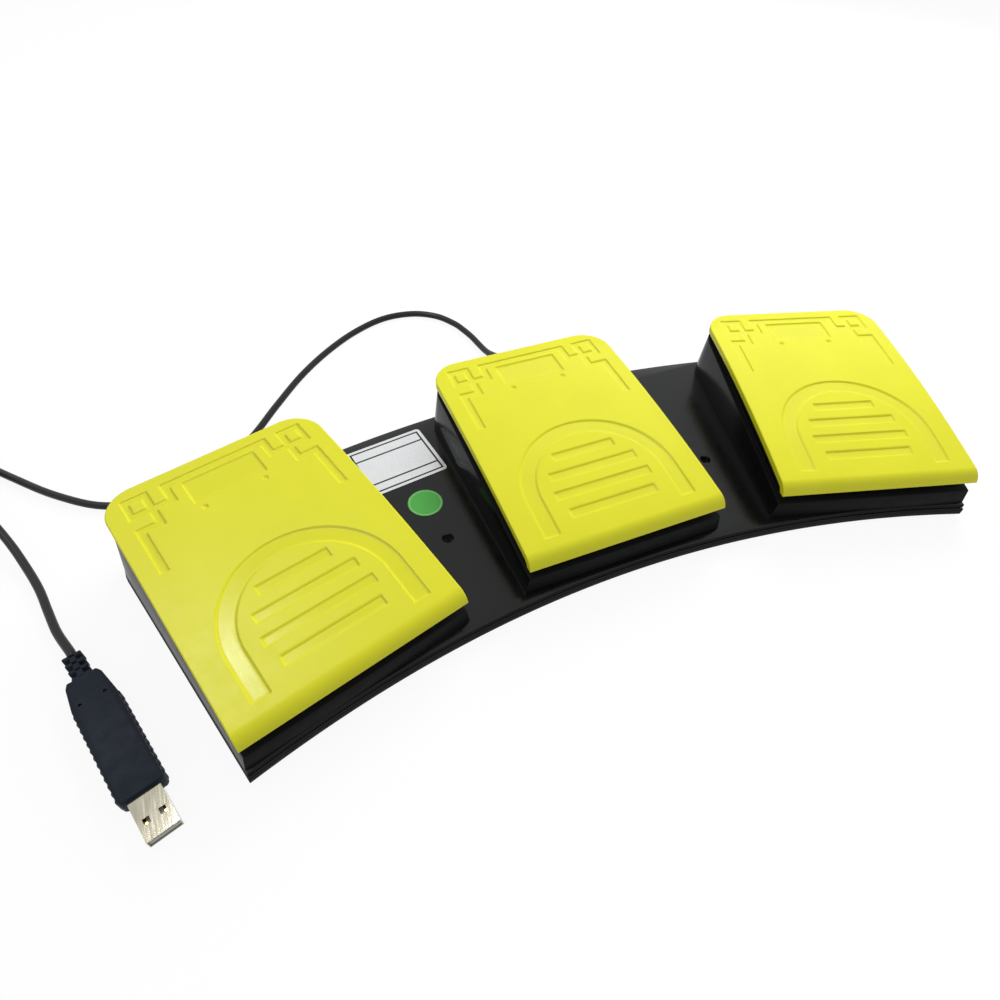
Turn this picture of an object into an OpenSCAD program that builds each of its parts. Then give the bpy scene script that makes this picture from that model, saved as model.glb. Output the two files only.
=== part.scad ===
// Triple foot pedal: three hinged treads fanned out on one curved base, with a lever switch under each
// tread, a controller board inside and a lead that ends in a plug. Millimetres, +Z up, +Y to the rear.

/* [Layout] */
// Distance from the fan's centre to the lip of each tread
fan_r = 459; // [430:1:520]
// Angle between neighbouring pedals
fan_angle = 16.15; // [15.8:0.05:18]

/* [Treads] */
// Width of a tread
tread_w = 100; // [92:1:108]
// Length of a tread from lip to rear edge
tread_l = 130; // [120:1:140]
// Thickness of a tread
tread_t = 3.2; // [2.6:0.1:4]
// Height of the tread's highest line above the floor
tread_top = 37; // [35:0.5:40]
// Distance of that line from the rear edge
crown_back = 5; // [2:0.5:10]
// Radius of the tread's crown
crown_r = 820; // [760:10:900]
// Radius of the tread's rear corners
tread_corner_r = 15; // [10:0.5:18]
// Radius of the tread's front corners
lip_corner_r = 2; // [1:0.5:4]
// Radius of the roll that turns the tread down at the front
roll_r = 7; // [6:0.5:9]
// Height of the lip's edge under the highest line
lip_drop = 14.2; // [13:0.1:15]
// Depth of the sunk decoration
relief_depth = 0.8; // [0.4:0.1:1.2]

/* [Stroke] */
// Turn of a pressed pedal
press_angle = 2.4; // [1.6:0.1:2.6]
// Distance of the hinge from the tread's rear edge
hinge_back = 12; // [10:0.5:16]
// Height of the hinge under the tread's highest line
hinge_drop = 10; // [9:0.5:11]
// Diameter of the hinge pin
pin_d = 3; // [2.5:0.1:3.5]
// Clearance around the pin in the pedal's ears
pin_run = 0.05; // [0.03:0.01:0.1]
// Clearance around the pin where it is held
pin_hold = 0.02; // [0.01:0.01:0.04]

/* [Base] */
// Height of the rubber feet under the cover
foot_h = 1; // [0.8:0.1:2]
// Diameter of a rubber foot
foot_d = 16; // [12:1:18]
// Thickness of the cover's floor
cover_floor = 2; // [1.8:0.1:3]
// Height of the cover from its underside to its rim
cover_h = 4.5; // [4.2:0.1:6]
// Thickness of the cover's rim
rim_t = 2.2; // [1.6:0.1:3]
// Open seam between rim and deck
seam = 0.6; // [0.4:0.1:1]
// Thickness of the deck
deck_t = 2; // [1.6:0.1:3]
// How far the deck's edge stands back from the rim
deck_inset = 0.6; // [0.3:0.1:1]
// Clearance between the deck's skirt and the rim
skirt_gap = 0.3; // [0.2:0.05:0.5]
// Thickness of the deck's skirt
skirt_t = 1.6; // [1.2:0.1:2.4]
// How far the base reaches past the sides of a tread
side_margin = 1.8; // [1.5:0.1:4]
// How far the base's sides spread towards the rear, in degrees
side_spread = 1.2; // [0.8:0.1:1.5]
// Radius of the base's rear corners
base_corner_r = 19; // [16:0.5:22]
// How far the base reaches before the middle tread's lip
front_margin = 3.2; // [2.6:0.1:6]
// How far the rear edge between the boxes lies before the treads' rear edge
rear_margin = 2.4; // [2:0.1:10]
// Distance of the front edge's arc centre behind the fan's centre
front_arc_shift = 66.4; // [55:0.2:75]
// Diameter of the two mounting holes
bolt_hole_d = 5; // [4:0.1:6]
// Distance between the mounting holes
bolt_pitch = 144; // [138:1:150]
// Distance of the mounting holes behind the lip arc
bolt_back = 47.2; // [40:0.2:55]

/* [Boxes] */
// How far the box walls stand in from the tread's edge
box_inset = 0.5; // [0.3:0.1:1]
// The same at the rear
box_rear_inset = 1; // [0.8:0.1:2]
// Width of the ledge around the top of a box
ledge_w = 2.2; // [1.8:0.1:2.6]
// Width of that ledge at the front
front_ledge_w = 4.1; // [3.8:0.1:5]
// Thickness of the wall above the ledge
upstand_t = 1.6; // [1.2:0.1:2]
// Clearance over that wall when the pedal is pressed
upstand_gap = 0.4; // [0.3:0.05:0.6]
// Gap between a pressed lip and the ledge
ledge_gap = 0.86; // [0.5:0.02:1.2]
// Gap between tread and ledge at the rear
ledge_rear_gap = 2.6; // [2:0.1:3]
// Radius of the box's front corners
box_front_r = 2.5; // [2:0.5:6]
// How far the foot of a box's sides stands in from the deck's edge
foot_step = 0.2; // [0.1:0.05:0.4]
// Thickness of the lip that sits in the deck's opening
locator_t = 0.8; // [0.6:0.1:1]
// Clearance around that lip
locator_gap = 0.2; // [0.1:0.05:0.3]

/* [Pedal frame] */
// Gap between tread and frame
cap_gap = 0.1; // [0.05:0.05:0.2]
// Thickness of the frame
frame_t = 1.6; // [1.2:0.1:2]
// Clearance between the frame and the box
frame_gap = 0.6; // [0.5:0.05:0.8]
// How far the frame's skirt reaches down inside the box wall
skirt_lap = 1.5; // [1:0.1:2.5]
// Distance of the hinge ears from the middle
ear_u = 31.4; // [28:0.2:33]
// Thickness of a hinge ear
ear_t = 4; // [3:0.2:5]
// Radius of a hinge ear
ear_r = 4; // [3.4:0.1:4.5]
// Diameter of the studs that hold a tread on its frame
stud_d = 5; // [4:0.2:6]
// Clearance around a stud
stud_gap = 0.1; // [0.05:0.05:0.2]

/* [Switch] */
// Length of a switch body
switch_l = 20; // [19:0.2:21]
// Thickness of a switch body
switch_w = 6.4; // [6:0.1:7]
// Height of a switch body
switch_h = 10.3; // [9.6:0.1:11]
// Height of a switch body's top above the cover's underside
switch_top = 17; // [16.5:0.1:18]
// Distance of the push point behind the lip
push_v = 58; // [52:0.5:64]
// Distance from the lever's pivot to the push point
lever_arm = 17; // [16:0.2:18]
// Distance from the lever's pivot to the button
button_arm = 4; // [3.6:0.1:4.6]
// Thickness of a lever
lever_t = 0.5; // [0.4:0.05:0.7]
// Diameter of a switch button
button_d = 2.2; // [1.8:0.1:2.6]

/* [Spring] */
// Wire diameter of a return spring
spring_wire = 1.2; // [0.9:0.1:1.4]
// Diameter of a return spring at the middle of its wire
spring_d = 11; // [10:0.5:13]
// Turns of a return spring
spring_turns = 6; // [4:0.5:7]
// Distance of the spring behind the lip
spring_v = 30; // [26:1:34]

/* [Lead] */
// Diameter of the lead
cord_d = 3.8; // [3.4:0.1:4]
// Width of the plug's grip
grip_w = 17.6; // [15:0.1:18]
// Height of the plug's grip
grip_h = 8.5; // [8:0.1:9.5]
// Length of the plug's grip
grip_l = 58; // [50:0.5:62]
// Length of the sleeve behind the grip
relief_l = 13; // [11:0.5:16]
// Width of the plug's metal shell
shell_w = 12; // [11.6:0.1:12.4]
// Height of the plug's metal shell
shell_h = 4.5; // [4.3:0.1:4.7]
// Length of the plug's metal shell
shell_l = 17; // [15:0.5:19]
// Wall of the plug's metal shell
shell_t = 0.4; // [0.3:0.05:0.5]

/* [Stickers] */
// Width of the silver label
label_w = 42; // [36:1:46]
// Depth of the silver label
label_l = 34; // [28:1:38]
// Diameter of the round sticker
sticker_d = 17; // [14:1:20]

/* [Hidden] */

$fn = 48;
arc_fn = 720;
eps = 0.01;
// How far cuts run past a face and joints run into one
over = 1;
black = [0.10, 0.11, 0.11];
steel = [0.72, 0.73, 0.75];
yellow = [0.95, 0.93, 0.16];

// Heights of the base
cover_top = foot_h + cover_floor;
deck_bottom = foot_h + cover_h + seam;
deck_top = deck_bottom + deck_t;

// Arcs of the base about the fan's centre
rear_arc_r = fan_r + tread_l - rear_margin;
front_arc_r = fan_r - front_margin + front_arc_shift;
base_half_w = tread_w / 2 + side_margin;

// The fan's centre lies so that the base is centred on the origin, front to rear
corner_u = base_half_w;
corner_reach = -front_arc_shift * cos(fan_angle)
    + sqrt(front_arc_r ^ 2 - (corner_u - front_arc_shift * sin(fan_angle)) ^ 2);
corner_v = corner_reach - fan_r;
front_y = -sin(fan_angle) * corner_u + cos(fan_angle) * corner_reach;
rear_y = fan_r + tread_l;
fan_y = -(front_y + rear_y) / 2;

// Tread: crown line, roll and lip
crown_v = tread_l - crown_back;
crown_z = tread_top - crown_r;
lip_z = tread_top - lip_drop;
roll_z = crown_z + sqrt((crown_r - roll_r) ^ 2 - (crown_v - roll_r) ^ 2);
roll_join = function (drop) crown_v - (crown_v - roll_r) * (crown_r - drop) / (crown_r - roll_r);
crown_at = function (v, drop) crown_z + sqrt((crown_r - drop) ^ 2 - (v - crown_v) ^ 2);

// Hinge and stroke
hinge_v = tread_l - hinge_back;
hinge_z = tread_top - hinge_drop;
press_sin = sin(press_angle);
stroke = hinge_v * press_sin;
frame_drop = tread_t + cap_gap;
under_drop = frame_drop + frame_t;
pressed_at = function (v) crown_at(v, under_drop) - (hinge_v - v) * press_sin;

// Box walls in the pedal's own plan: half width, front, rear
wall_t = ledge_w + upstand_t;
front_wall_t = front_ledge_w + upstand_t;
box_half_w = tread_w / 2 - box_inset;
box_front = box_inset;
box_rear = tread_l - box_rear_inset;
box_rear_r = tread_corner_r - box_inset;
ledge_front_z = lip_z - stroke - ledge_gap;
ledge_rear_z = tread_top - tread_t - ledge_rear_gap;
foot_inset = deck_inset + foot_step;
box_lean = atan((base_half(box_front, foot_inset) - box_half_w) / (ledge_front_z - deck_top));

// Frame plan
frame_half_w = box_half_w - wall_t - frame_gap;
frame_front = box_front + front_wall_t + frame_gap;
frame_rear = box_rear - wall_t - frame_gap;
frame_rear_r = box_rear_r - wall_t - frame_gap;
frame_front_r = 1;
stud_places = [[-30, 20], [30, 20], [-30, 98], [30, 98]];
stud_reach = 2.4;

// Hinge cheeks inside a box
cheek_t = 4;
cheek_gap = 0.4;
cheek_u = ear_u + ear_t / 2 + cheek_gap;
cheek_reach = 5;
cheek_top = 3.6;
cheek_low = 12;

// Front hooks and the catches that hold the pedals down against their springs
hook_u = 17;
hook_w = 6;
hook_t = 1.6;
hook_run = 1;
catch_reach = 3.2;
catch_t = 2;
catch_rise = 1.9;
catch_side = 1;
catch_z = deck_top + catch_rise;
hook_gap = 0.25;
barb_t = 1.8;
barb_z = catch_z - hook_gap - barb_t;
catch_end = box_front + front_wall_t + catch_reach;

// Stop pads
pad_places = [[-38, 13], [38, 13]];
pad_d = 8;
pad_t = 2;
pad_gap = 0.25;
pad_top = pressed_at(pad_places[0][1] - pad_d / 2) - pad_gap;
pad_post_d = 7;

// Switch: pivot, lever and button
switch_z = foot_h + switch_top;
pivot_v = push_v + lever_arm;
pivot_rise = 1.2;
pivot_z = switch_z + pivot_rise;
pivot_inset = 2.5;
switch_front = pivot_v + pivot_inset - switch_l;
lever_w = 4.4;
lever_overhang = 3;
lever_turn = asin((hinge_v - push_v) * press_sin / lever_arm);
pivot_pin_d = 1.2;
pivot_run = 0.05;
barrel_d = 1.8;
lug_t = 0.8;
lug_l = 2.8;
lug_h = 2.6;
peg_d = 2.3;
peg_run = 0.05;
peg_pitch = 9.5;
peg_drop = 7.5;
terminal_h = 3;
terminal_w = 3;
terminal_t = 0.6;
terminal_pitch = 7;
terminal_back = 7.5;
terminal_v = pivot_v - terminal_back;
bracket_t = 2;
bracket_gap = 0.2;
bracket_inset = 1;
bracket_drop = 3;
nose_r = 2.5;
nose_gap = 0.3;
post_w = 6;
button_gap = 0.06;
button_run = 0.06;
button_room = 0.3;
button_l = 4.8;
button_v = pivot_v - button_arm;
lever_under = function (v) pivot_z + (pivot_v - v) * tan(lever_turn) - lever_t / 2 / cos(lever_turn);
button_top = lever_under(button_v + button_d / 2) - button_gap;
button_travel = button_arm * sin(lever_turn);
nose_z = pivot_z + lever_arm * tan(lever_turn) + (lever_t / 2 + nose_gap + nose_r) / cos(lever_turn);

// Return spring and its seats
spring_gap = 0.3;
seat_rim = 0.8;
seat_rise = 2;
seat_lap = 0.3;
seat_d = spring_d + spring_wire + 2 * seat_rim;
spigot_gap = 0.5;
spigot_d = spring_d - spring_wire - 2 * spigot_gap;
spigot_h = 2.4;
seat_low = cover_top + seat_rise;
seat_high = crown_at(spring_v - seat_d / 2, under_drop) - seat_lap;
seat_hang = crown_at(spring_v, frame_drop + frame_t / 2) - seat_high;

// Cover screws: two in each gap between the boxes, two inside each outer box
screw_d = 2.6;
screw_head_d = 5.2;
screw_head_h = 1.2;
screw_play = 0.05;
boss_d = 7;
screw_reach = 3.6;
screw_run = 0.5;
gap_screw_back = [26, 101];
box_screw_u = 40.5;
box_screw_v = [27, 96];
boss_rise = 2.9;
boss_rib_t = 4;
box_boss_top = deck_top + boss_rise;

// Feet: in each pedal's own plan, by side
foot_seat = 0.6;
foot_gap = 0.1;
foot_places = [[-1, -36, 16], [-1, -36, 112], [0, 0, 14], [0, 0, 112], [1, 36, 16], [1, 36, 112]];

// Mounting holes
sleeve_wall = 2;
sleeve_d = bolt_hole_d + 2 * sleeve_wall;
bolt_y = sqrt((fan_r + bolt_back) ^ 2 - (bolt_pitch / 2) ^ 2);

// Controller board in the middle box
board_w = 48;
board_l = 26;
board_t = 1.6;
board_v = 84;
board_rise = 3;
board_z = cover_top + board_rise;
board_screw_d = 2;
board_screw_places = [[-20, 4], [20, 22]];
standoff_d = 6;
board_screw_rise = 0.3;
board_screw_head_h = 1.4;
chip_w = 10;
chip_h = 1.6;
chip_back = 8;
socket_w = 5;
socket_l = 9;
socket_h = 5;
side_socket_back = 13;
front_socket_u = -12;
rear_socket_u = 8;
lead_d = 1.8;
lead_gap = 0.1;
lead_rise = 1.2;
lead_pass_d = 2.6;

// Strain relief at the rear of the middle box
gland_x = 5;
gland_flange_d = 10;
gland_flange_t = 2;
gland_neck_d = 6.8;
gland_fit = 0.1;
gland_boot_l = 14;
gland_boot_d = 7.2;
gland_tip_d = 5;
gland_rise = 0.3;
gland_z = deck_top + gland_flange_d / 2 + gland_rise;
gland_y = fan_y + fan_r + box_rear;
gland_tip_y = gland_y + gland_flange_t + gland_boot_l;

// Coil of the lead, wound in and out in layers about coil_centre
coil_centre = [-306, 130];
coil_outer_r = 26;
coil_space = 0.5;
coil_pitch = cord_d + coil_space;
coil_layers = 4;
coil_turns = 10.625;
coil_start = 45;
coil_rings = 24;
tie_t = 0.6;
tie_w = 8;
tie_gap = 0.3;
tie_angle = 165;
coil_low = tie_t + tie_gap / 3 + cord_d / 2;
turns_each = coil_turns / coil_layers;
coil_inner_r = coil_outer_r - turns_each * coil_pitch;

// Place of the plug: where the lead enters its sleeve, and which way it points
plug_at = [-233.4, -5.6];
plug_turn = -71.95;
plug_mid = grip_h / 2;
plug_way = [cos(plug_turn), sin(plug_turn), 0];

// Label and sticker lie in the gap left of the middle pedal
label_t = 0.3;
label_corner_r = 2;
label_back = 104.5;
sticker_t = 0.25;
sticker_back = 72;

// A point of a pedal's own plan in the part's frame
place = function (side, p) let (a = -side * fan_angle)
    [cos(a) * p.x - sin(a) * (p.y + fan_r), fan_y + sin(a) * p.x + cos(a) * (p.y + fan_r), p.z];
unit = function (v) v / norm(v);

// Points of the coil at s turns from its start
fold = function (s) let (m = s % (2 * turns_each)) m <= turns_each ? m : 2 * turns_each - m;
climb = function (s) let (k = round(s / turns_each), c = s - k * turns_each)
    k <= 0 || k >= coil_layers ? (k <= 0 ? 0 : coil_layers - 1) : k - 0.5 + max(-0.5, min(0.5, 2 * c));
coil_point = function (s) let (r = coil_outer_r - coil_pitch * fold(s), a = coil_start + 360 * s)
    [coil_centre.x + r * cos(a), coil_centre.y + r * sin(a), coil_low + coil_pitch * climb(s)];
coil_steps = round(coil_turns * coil_rings);
coil_bend = [for (i = [0 : coil_steps]) coil_point(coil_turns * i / coil_steps)];
coil_way = function (a) [-sin(a), cos(a), 0];
coil_in = coil_bend[0] - cord_d * coil_way(coil_start);
coil_out = coil_bend[coil_steps] + cord_d * coil_way(coil_start + 360 * coil_turns);
coil_path = concat([coil_in], coil_bend, [coil_out]);

// Route of the lead from the strain relief to the coil, then from the coil to the plug
route_to_coil = concat(
    [[gland_x, gland_tip_y, gland_z], [gland_x, gland_tip_y + cord_d, gland_z]],
    [[4.8, 107, 12], [4.4, 112, 9.6], [3.8, 118, 6.8], [3.1, 124, 4.4], [2.5, 130, 2.9], [1.8, 138, 2.1],
     [0.6, 147, 2], [-1.6, 156, 2], [-4.8, 165, 2], [-13, 177, 2], [-27, 185, 2], [-46, 186, 2],
     [-67, 178, 2], [-88, 164, 2], [-108, 146, 2], [-127, 124, 2], [-146, 101, 2],
     [-168, 84, 2], [-193, 75, 2], [-218, 79, 2], [-240, 95, 2], [-260, 116, 2], [-274, 132, 2.3]],
    [coil_in - 2 * cord_d * coil_way(coil_start), coil_in]);
route_to_plug = concat(
    [coil_out, coil_out + 2 * cord_d * coil_way(coil_start + 360 * coil_turns)],
    [[-281, 98, 13.4], [-268, 86, 9.4], [-259, 69, 5.4], [-252.5, 53, 3], [-247.2, 38, 2.1],
     [-243.6, 24, 2.1], [-239.8, 10.6, 3]],
    [[plug_at.x, plug_at.y, plug_mid] - cord_d * plug_way, [plug_at.x, plug_at.y, plug_mid]]);

// Leads inside the base, from each switch to the board's sockets
lead_z = cover_top + lead_rise;
terminal_lead_z = lead_z + lead_rise;
socket_z = board_z + board_t + socket_h / 2;
outer_lead = function (side) [
    place(side, [-side * (terminal_w / 2 + lead_gap), terminal_v, terminal_lead_z]),
    place(side, [-side * 5, terminal_v, terminal_lead_z]),
    place(side, [-side * 16, pivot_v - 6, lead_z]),
    place(side, [-side * 40, pivot_v + 2, lead_z]),
    place(side, [-side * 62, pivot_v + 12, lead_z]),
    place(0, [side * 52, board_v + side_socket_back, lead_z]),
    place(0, [side * 40, board_v + side_socket_back, lead_z + 1]),
    place(0, [side * (board_w / 2 + 5), board_v + side_socket_back, socket_z]),
    place(0, [side * (board_w / 2 + lead_gap), board_v + side_socket_back, socket_z])];
middle_lead = [
    place(0, [-terminal_w / 2 - lead_gap, terminal_v, terminal_lead_z]),
    place(0, [-6, terminal_v, terminal_lead_z]),
    place(0, [-10, pivot_v - 2, terminal_lead_z]),
    place(0, [front_socket_u, board_v - 7, socket_z - 1]),
    place(0, [front_socket_u, board_v - 3, socket_z]),
    place(0, [front_socket_u, board_v - lead_gap, socket_z])];
cord_lead = [
    [gland_x, gland_y - wall_t - gland_flange_t - lead_gap, gland_z],
    [gland_x, gland_y - wall_t - gland_flange_t - 4, gland_z - 0.3],
    [gland_x + 2, gland_y - wall_t - gland_flange_t - 8, (gland_z + socket_z) / 2],
    place(0, [rear_socket_u, board_v + board_l + 3, socket_z]),
    place(0, [rear_socket_u, board_v + board_l + lead_gap, socket_z])];

// Smooth curve through hand-set points, two steps to a stretch
smooth = function (p) let (n = len(p) - 1) concat(
    [for (i = [0 : n - 1]) each
        let (a = p[max(i - 1, 0)], b = p[i], c = p[i + 1], d = p[min(i + 2, n)])
        [b, (9 * (b + c) - a - d) / 16]],
    [p[n]]);

// Least gap between stretches of a wound tube that lie more than half a turn apart
self_gap = function (p, d, half) min([for (i = [0 : len(p) - 1]) for (j = [i + half : 1 : len(p) - 1])
    norm(p[i] - p[j])]) - d;
echo(coil_gap = self_gap(coil_path, cord_d, coil_rings / 2 + 1));

// A tube swept along points that never run straight up
module tube(p, d, sides) {
    n = len(p) - 1;
    along = [for (i = [0 : n]) unit(p[min(i + 1, n)] - p[max(i - 1, 0)])];
    points = [for (i = [0 : n]) let (s = unit(cross(along[i], [0, 0, 1])), u = cross(s, along[i]))
        for (k = [0 : sides - 1]) p[i] + d / 2 * (cos(360 * k / sides) * s + sin(360 * k / sides) * u)];
    wall = [for (i = [0 : n - 1]) for (k = [0 : sides - 1]) let (a = i * sides + k,
        b = i * sides + (k + 1) % sides) each [[a, b + sides, b], [a, a + sides, b + sides]]];
    near = [for (k = [1 : sides - 2]) [0, k, k + 1]];
    far = [for (k = [1 : sides - 2]) [n * sides, n * sides + k + 1, n * sides + k]];
    polyhedron(points, concat(wall, near, far));
}

// Puts a piece of a pedal's own plan where that pedal is: side -1 left, 0 middle, 1 right
module at_pedal(side) {
    translate([0, fan_y, 0]) rotate(-side * fan_angle) translate([0, fan_r, 0]) children();
}

// Puts a piece on the deck between two pedals, back behind the lip arc
module at_gap(side, back) {
    translate([0, fan_y, 0]) rotate(-side * fan_angle / 2) translate([0, fan_r + back, 0]) children();
}

// Extrudes a side view, drawn as distance behind the lip and height, across the pedal
module across(half) {
    rotate([90, 0, 90]) linear_extrude(2 * half, center = true) children();
}

// A round bar across the pedal
module bar(u, v, z, d, l) {
    translate([u, v, z]) rotate([0, 90, 0]) cylinder(d = d, h = l, center = true);
}

// Plan of a pedal piece with rounded corners
module plan(half, front, rear, front_r, rear_r) {
    difference() {
        translate([-half, front]) square([2 * half, rear - front]);
        for (s = [-1, 1]) {
            corner(s, s * (half - rear_r), rear - rear_r, rear_r, 1);
            corner(s, s * (half - front_r), front + front_r, front_r, -1);
        }
    }
}

// What a rounded corner takes away from a square one
module corner(s, u, v, r, way) {
    difference() {
        translate([u + (s < 0 ? -r - 1 : 0), v + (way < 0 ? -r - 1 : 0)]) square(r + 1);
        translate([u, v]) circle(r);
    }
}

module box_plan(inset, front_inset) {
    plan(box_half_w - inset, box_front + front_inset, box_rear - inset,
        max(box_front_r - inset, 0.6), box_rear_r - inset);
}

module frame_plan(inset) {
    plan(frame_half_w - inset, frame_front + inset, frame_rear - inset, frame_front_r, frame_rear_r - inset);
}

// Half width of the base beside a pedal, drawn in by inset
function base_half(v, inset) = base_half_w - inset + (v - corner_v) * tan(side_spread);

// Plan of the base under one pedal, drawn in by inset
corner_steps = 24;
module base_plan(inset) {
    front = -2 * base_corner_r;
    rear = tread_l - inset;
    r = base_corner_r - inset;
    middle_u = base_half(rear - r, inset) - r / cos(side_spread);
    right = concat([[base_half(front, inset), front]],
        [for (k = [0 : corner_steps]) let (a = (90 + side_spread) * k / corner_steps - side_spread)
            [middle_u + r * cos(a), rear - r + r * sin(a)]]);
    left = [for (k = [len(right) - 1 : -1 : 0]) [-right[k].x, right[k].y]];
    polygon(concat(right, left));
}

// Outline of the base about the fan's centre, drawn in by inset
module base_outline(inset) {
    difference() {
        union() {
            intersection() {
                circle(rear_arc_r - inset, $fn = arc_fn);
                polygon([[0, 0], rear_arc_r * 1.2 * [-sin(fan_angle), cos(fan_angle)],
                    rear_arc_r * 1.2 * [sin(fan_angle), cos(fan_angle)]]);
            }
            for (side = [-1 : 1]) rotate(-side * fan_angle) translate([0, fan_r]) base_plan(inset);
        }
        translate([0, -front_arc_shift]) circle(front_arc_r + inset, $fn = arc_fn);
    }
}

module base_slab(inset, low, high) {
    translate([0, fan_y, low]) linear_extrude(high - low) base_outline(inset);
}

// Side view of all that lies under the tread's crown, lowered by drop
module under_crown(drop) {
    intersection() {
        translate([crown_v, crown_z]) circle(crown_r - drop, $fn = arc_fn);
        translate([-tread_w, 0]) square([tread_l + 2 * tread_w, tread_top + over]);
    }
}

// Side view of the tread's outer or inner form
module tread_form(drop) {
    intersection() {
        under_crown(drop);
        translate([roll_join(drop), 0]) square([tread_l + tread_w, tread_top + over]);
    }
    translate([roll_r, roll_z]) circle(roll_r - drop);
}

// Side view of the room under a tread at rest, drawn in by drop
module room_view(drop) {
    tread_form(drop);
    translate([drop, 0]) square([tread_l, roll_z]);
}

// Side view of what the wall above the ledge may fill, with the pedal at rest or pressed
module upstand_view() {
    intersection() {
        room_view(tread_t + upstand_gap);
        translate([hinge_v, hinge_z]) rotate(press_angle) translate([-hinge_v, -hinge_z])
            room_view(tread_t + upstand_gap);
    }
}

module tread_view() {
    intersection() {
        difference() {
            tread_form(0);
            tread_form(tread_t);
        }
        translate([-over, lip_z]) square([tread_l + 2 * over, tread_top]);
    }
}

// Round arch of the sunk decoration
arch_outer = 38.5;
arch_inner = 31.1;
arch_foot = 10.3;
arch_spring = 29.5;

module arch(r) {
    translate([0, arch_spring]) circle(r, $fn = 96);
    translate([-r, arch_foot]) square([2 * r, arch_spring - arch_foot]);
}

// Stepped corner line of the sunk decoration, right half: low and high corners of each stretch
fret_stretches = [
    [[0, 120.1], [24.9, 123.8]],
    [[21.4, 110.8], [24.9, 123.8]],
    [[21.4, 110.8], [41.9, 114.4]],
    [[39, 110.8], [41.9, 123.8]],
    [[30.3, 120.4], [41.9, 123.8]],
    [[30.3, 101.4], [33.6, 123.8]],
    [[30.3, 101.4], [42.1, 105]],
    [[38.5, 78.5], [42.1, 105]]];
module fret() {
    for (s = fret_stretches) translate(s[0]) square(s[1] - s[0]);
}

// Plain panel and two dots of the sunk decoration
panel_half_w = 16.7;
panel_v = 104.5;
panel_l = 14.3;
dot_u = 13.9;
dot_v = 100.5;
dot_r = 1.1;

// Tread bars inside the arch
bar_w = 4.6;
bar_rows = [[16, 22], [26.5, 24.5], [37, 22.5], [47.5, 16]];

// Sunk decoration, seen from above
module decoration() {
    difference() {
        intersection() {
            arch(arch_outer);
            translate([-tread_w / 2, arch_foot]) square(tread_w);
        }
        arch(arch_inner);
    }
    translate([-panel_half_w, panel_v]) square([2 * panel_half_w, panel_l]);
    for (s = [-1, 1]) translate([s * dot_u, dot_v]) circle(dot_r);
    fret();
    mirror([1, 0]) fret();
    for (row = bar_rows) translate([-row[1], row[0]]) square([2 * row[1], bar_w]);
}

// Yellow tread with its sunk decoration and four studs underneath
module tread() {
    difference() {
        intersection() {
            linear_extrude(tread_top + over) plan(tread_w / 2, 0, tread_l, lip_corner_r, tread_corner_r);
            across(tread_w) tread_view();
        }
        difference() {
            translate([0, 0, lip_z]) linear_extrude(tread_top) decoration();
            across(tread_w) under_crown(relief_depth);
        }
    }
    for (p = stud_places) translate([p.x, p.y, crown_at(p.y, under_drop) - stud_reach])
        cylinder(d = stud_d, h = under_drop + stud_reach - tread_t / 2);
}

// Black frame under a tread: plate, skirt, hinge ears, push post, spring seat and hooks
module pedal_frame() {
    difference() {
        union() {
            intersection() {
                linear_extrude(tread_top) frame_plan(0);
                across(tread_w) difference() {
                    under_crown(frame_drop);
                    under_crown(under_drop);
                }
            }
            intersection() {
                linear_extrude(tread_top) difference() {
                    frame_plan(0);
                    frame_plan(frame_t);
                }
                across(tread_w) difference() {
                    under_crown(frame_drop + eps);
                    translate([0, -skirt_lap]) upstand_view();
                }
            }
            for (s = [-1, 1]) {
                bar(s * ear_u, hinge_v, hinge_z, 2 * ear_r, ear_t);
                hang(s * ear_u, hinge_v, hinge_z, ear_t, 2 * ear_r);
                hang(s * hook_u, catch_end + hook_run + hook_t / 2, barb_z, hook_w, hook_t);
                translate([s * hook_u - hook_w / 2, box_front + front_wall_t + hook_run, barb_z])
                    cube([hook_w, catch_reach + hook_t, barb_t]);
            }
            hang(0, push_v, nose_z, post_w, 2 * nose_r);
            bar(0, push_v, nose_z, 2 * nose_r, post_w);
            translate([0, spring_v, seat_high]) cylinder(d = seat_d, h = seat_hang);
            translate([0, spring_v, seat_high - spigot_h]) cylinder(d = spigot_d, h = spigot_h + over);
        }
        for (s = [-1, 1]) bar(s * ear_u, hinge_v, hinge_z, pin_d + 2 * pin_run, ear_t + over);
        for (p = stud_places) translate([p.x, p.y, 0]) cylinder(d = stud_d + 2 * stud_gap, h = tread_top);
    }
}

// A block that hangs from the frame's plate down to height z
module hang(u, v, z, w, l) {
    translate([u - w / 2, v - l / 2, z])
        cube([w, l, crown_at(v - l / 2, frame_drop + frame_t / 2) - z]);
}

// Steel hinge pin
module hinge_pin() {
    bar(0, hinge_v, hinge_z, pin_d, 2 * (cheek_u + cheek_t));
}

// All that lies inside the leaning side of a box: s -1 left, 1 right
module inside_lean(s) {
    size = 4 * tread_w;
    translate([s * base_half(0, foot_inset), 0, deck_top]) rotate(-s * side_spread)
        rotate([0, -s * box_lean, 0]) translate([s > 0 ? -size : 0, -size, -size]) cube([size, 2 * size, 2 * size]);
}

// Outer wall of a box up to its sloped ledge, with sides that lean in from the deck's edge
module leaning_wall() {
    intersection() {
        translate([0, 0, deck_top]) linear_extrude(tread_top) base_plan(deck_inset);
        across(tread_w) polygon([[box_front, 0], [box_rear, 0], [box_rear, ledge_rear_z],
            [box_front, ledge_front_z]]);
        inside_lean(-1);
        inside_lean(1);
    }
}

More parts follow.
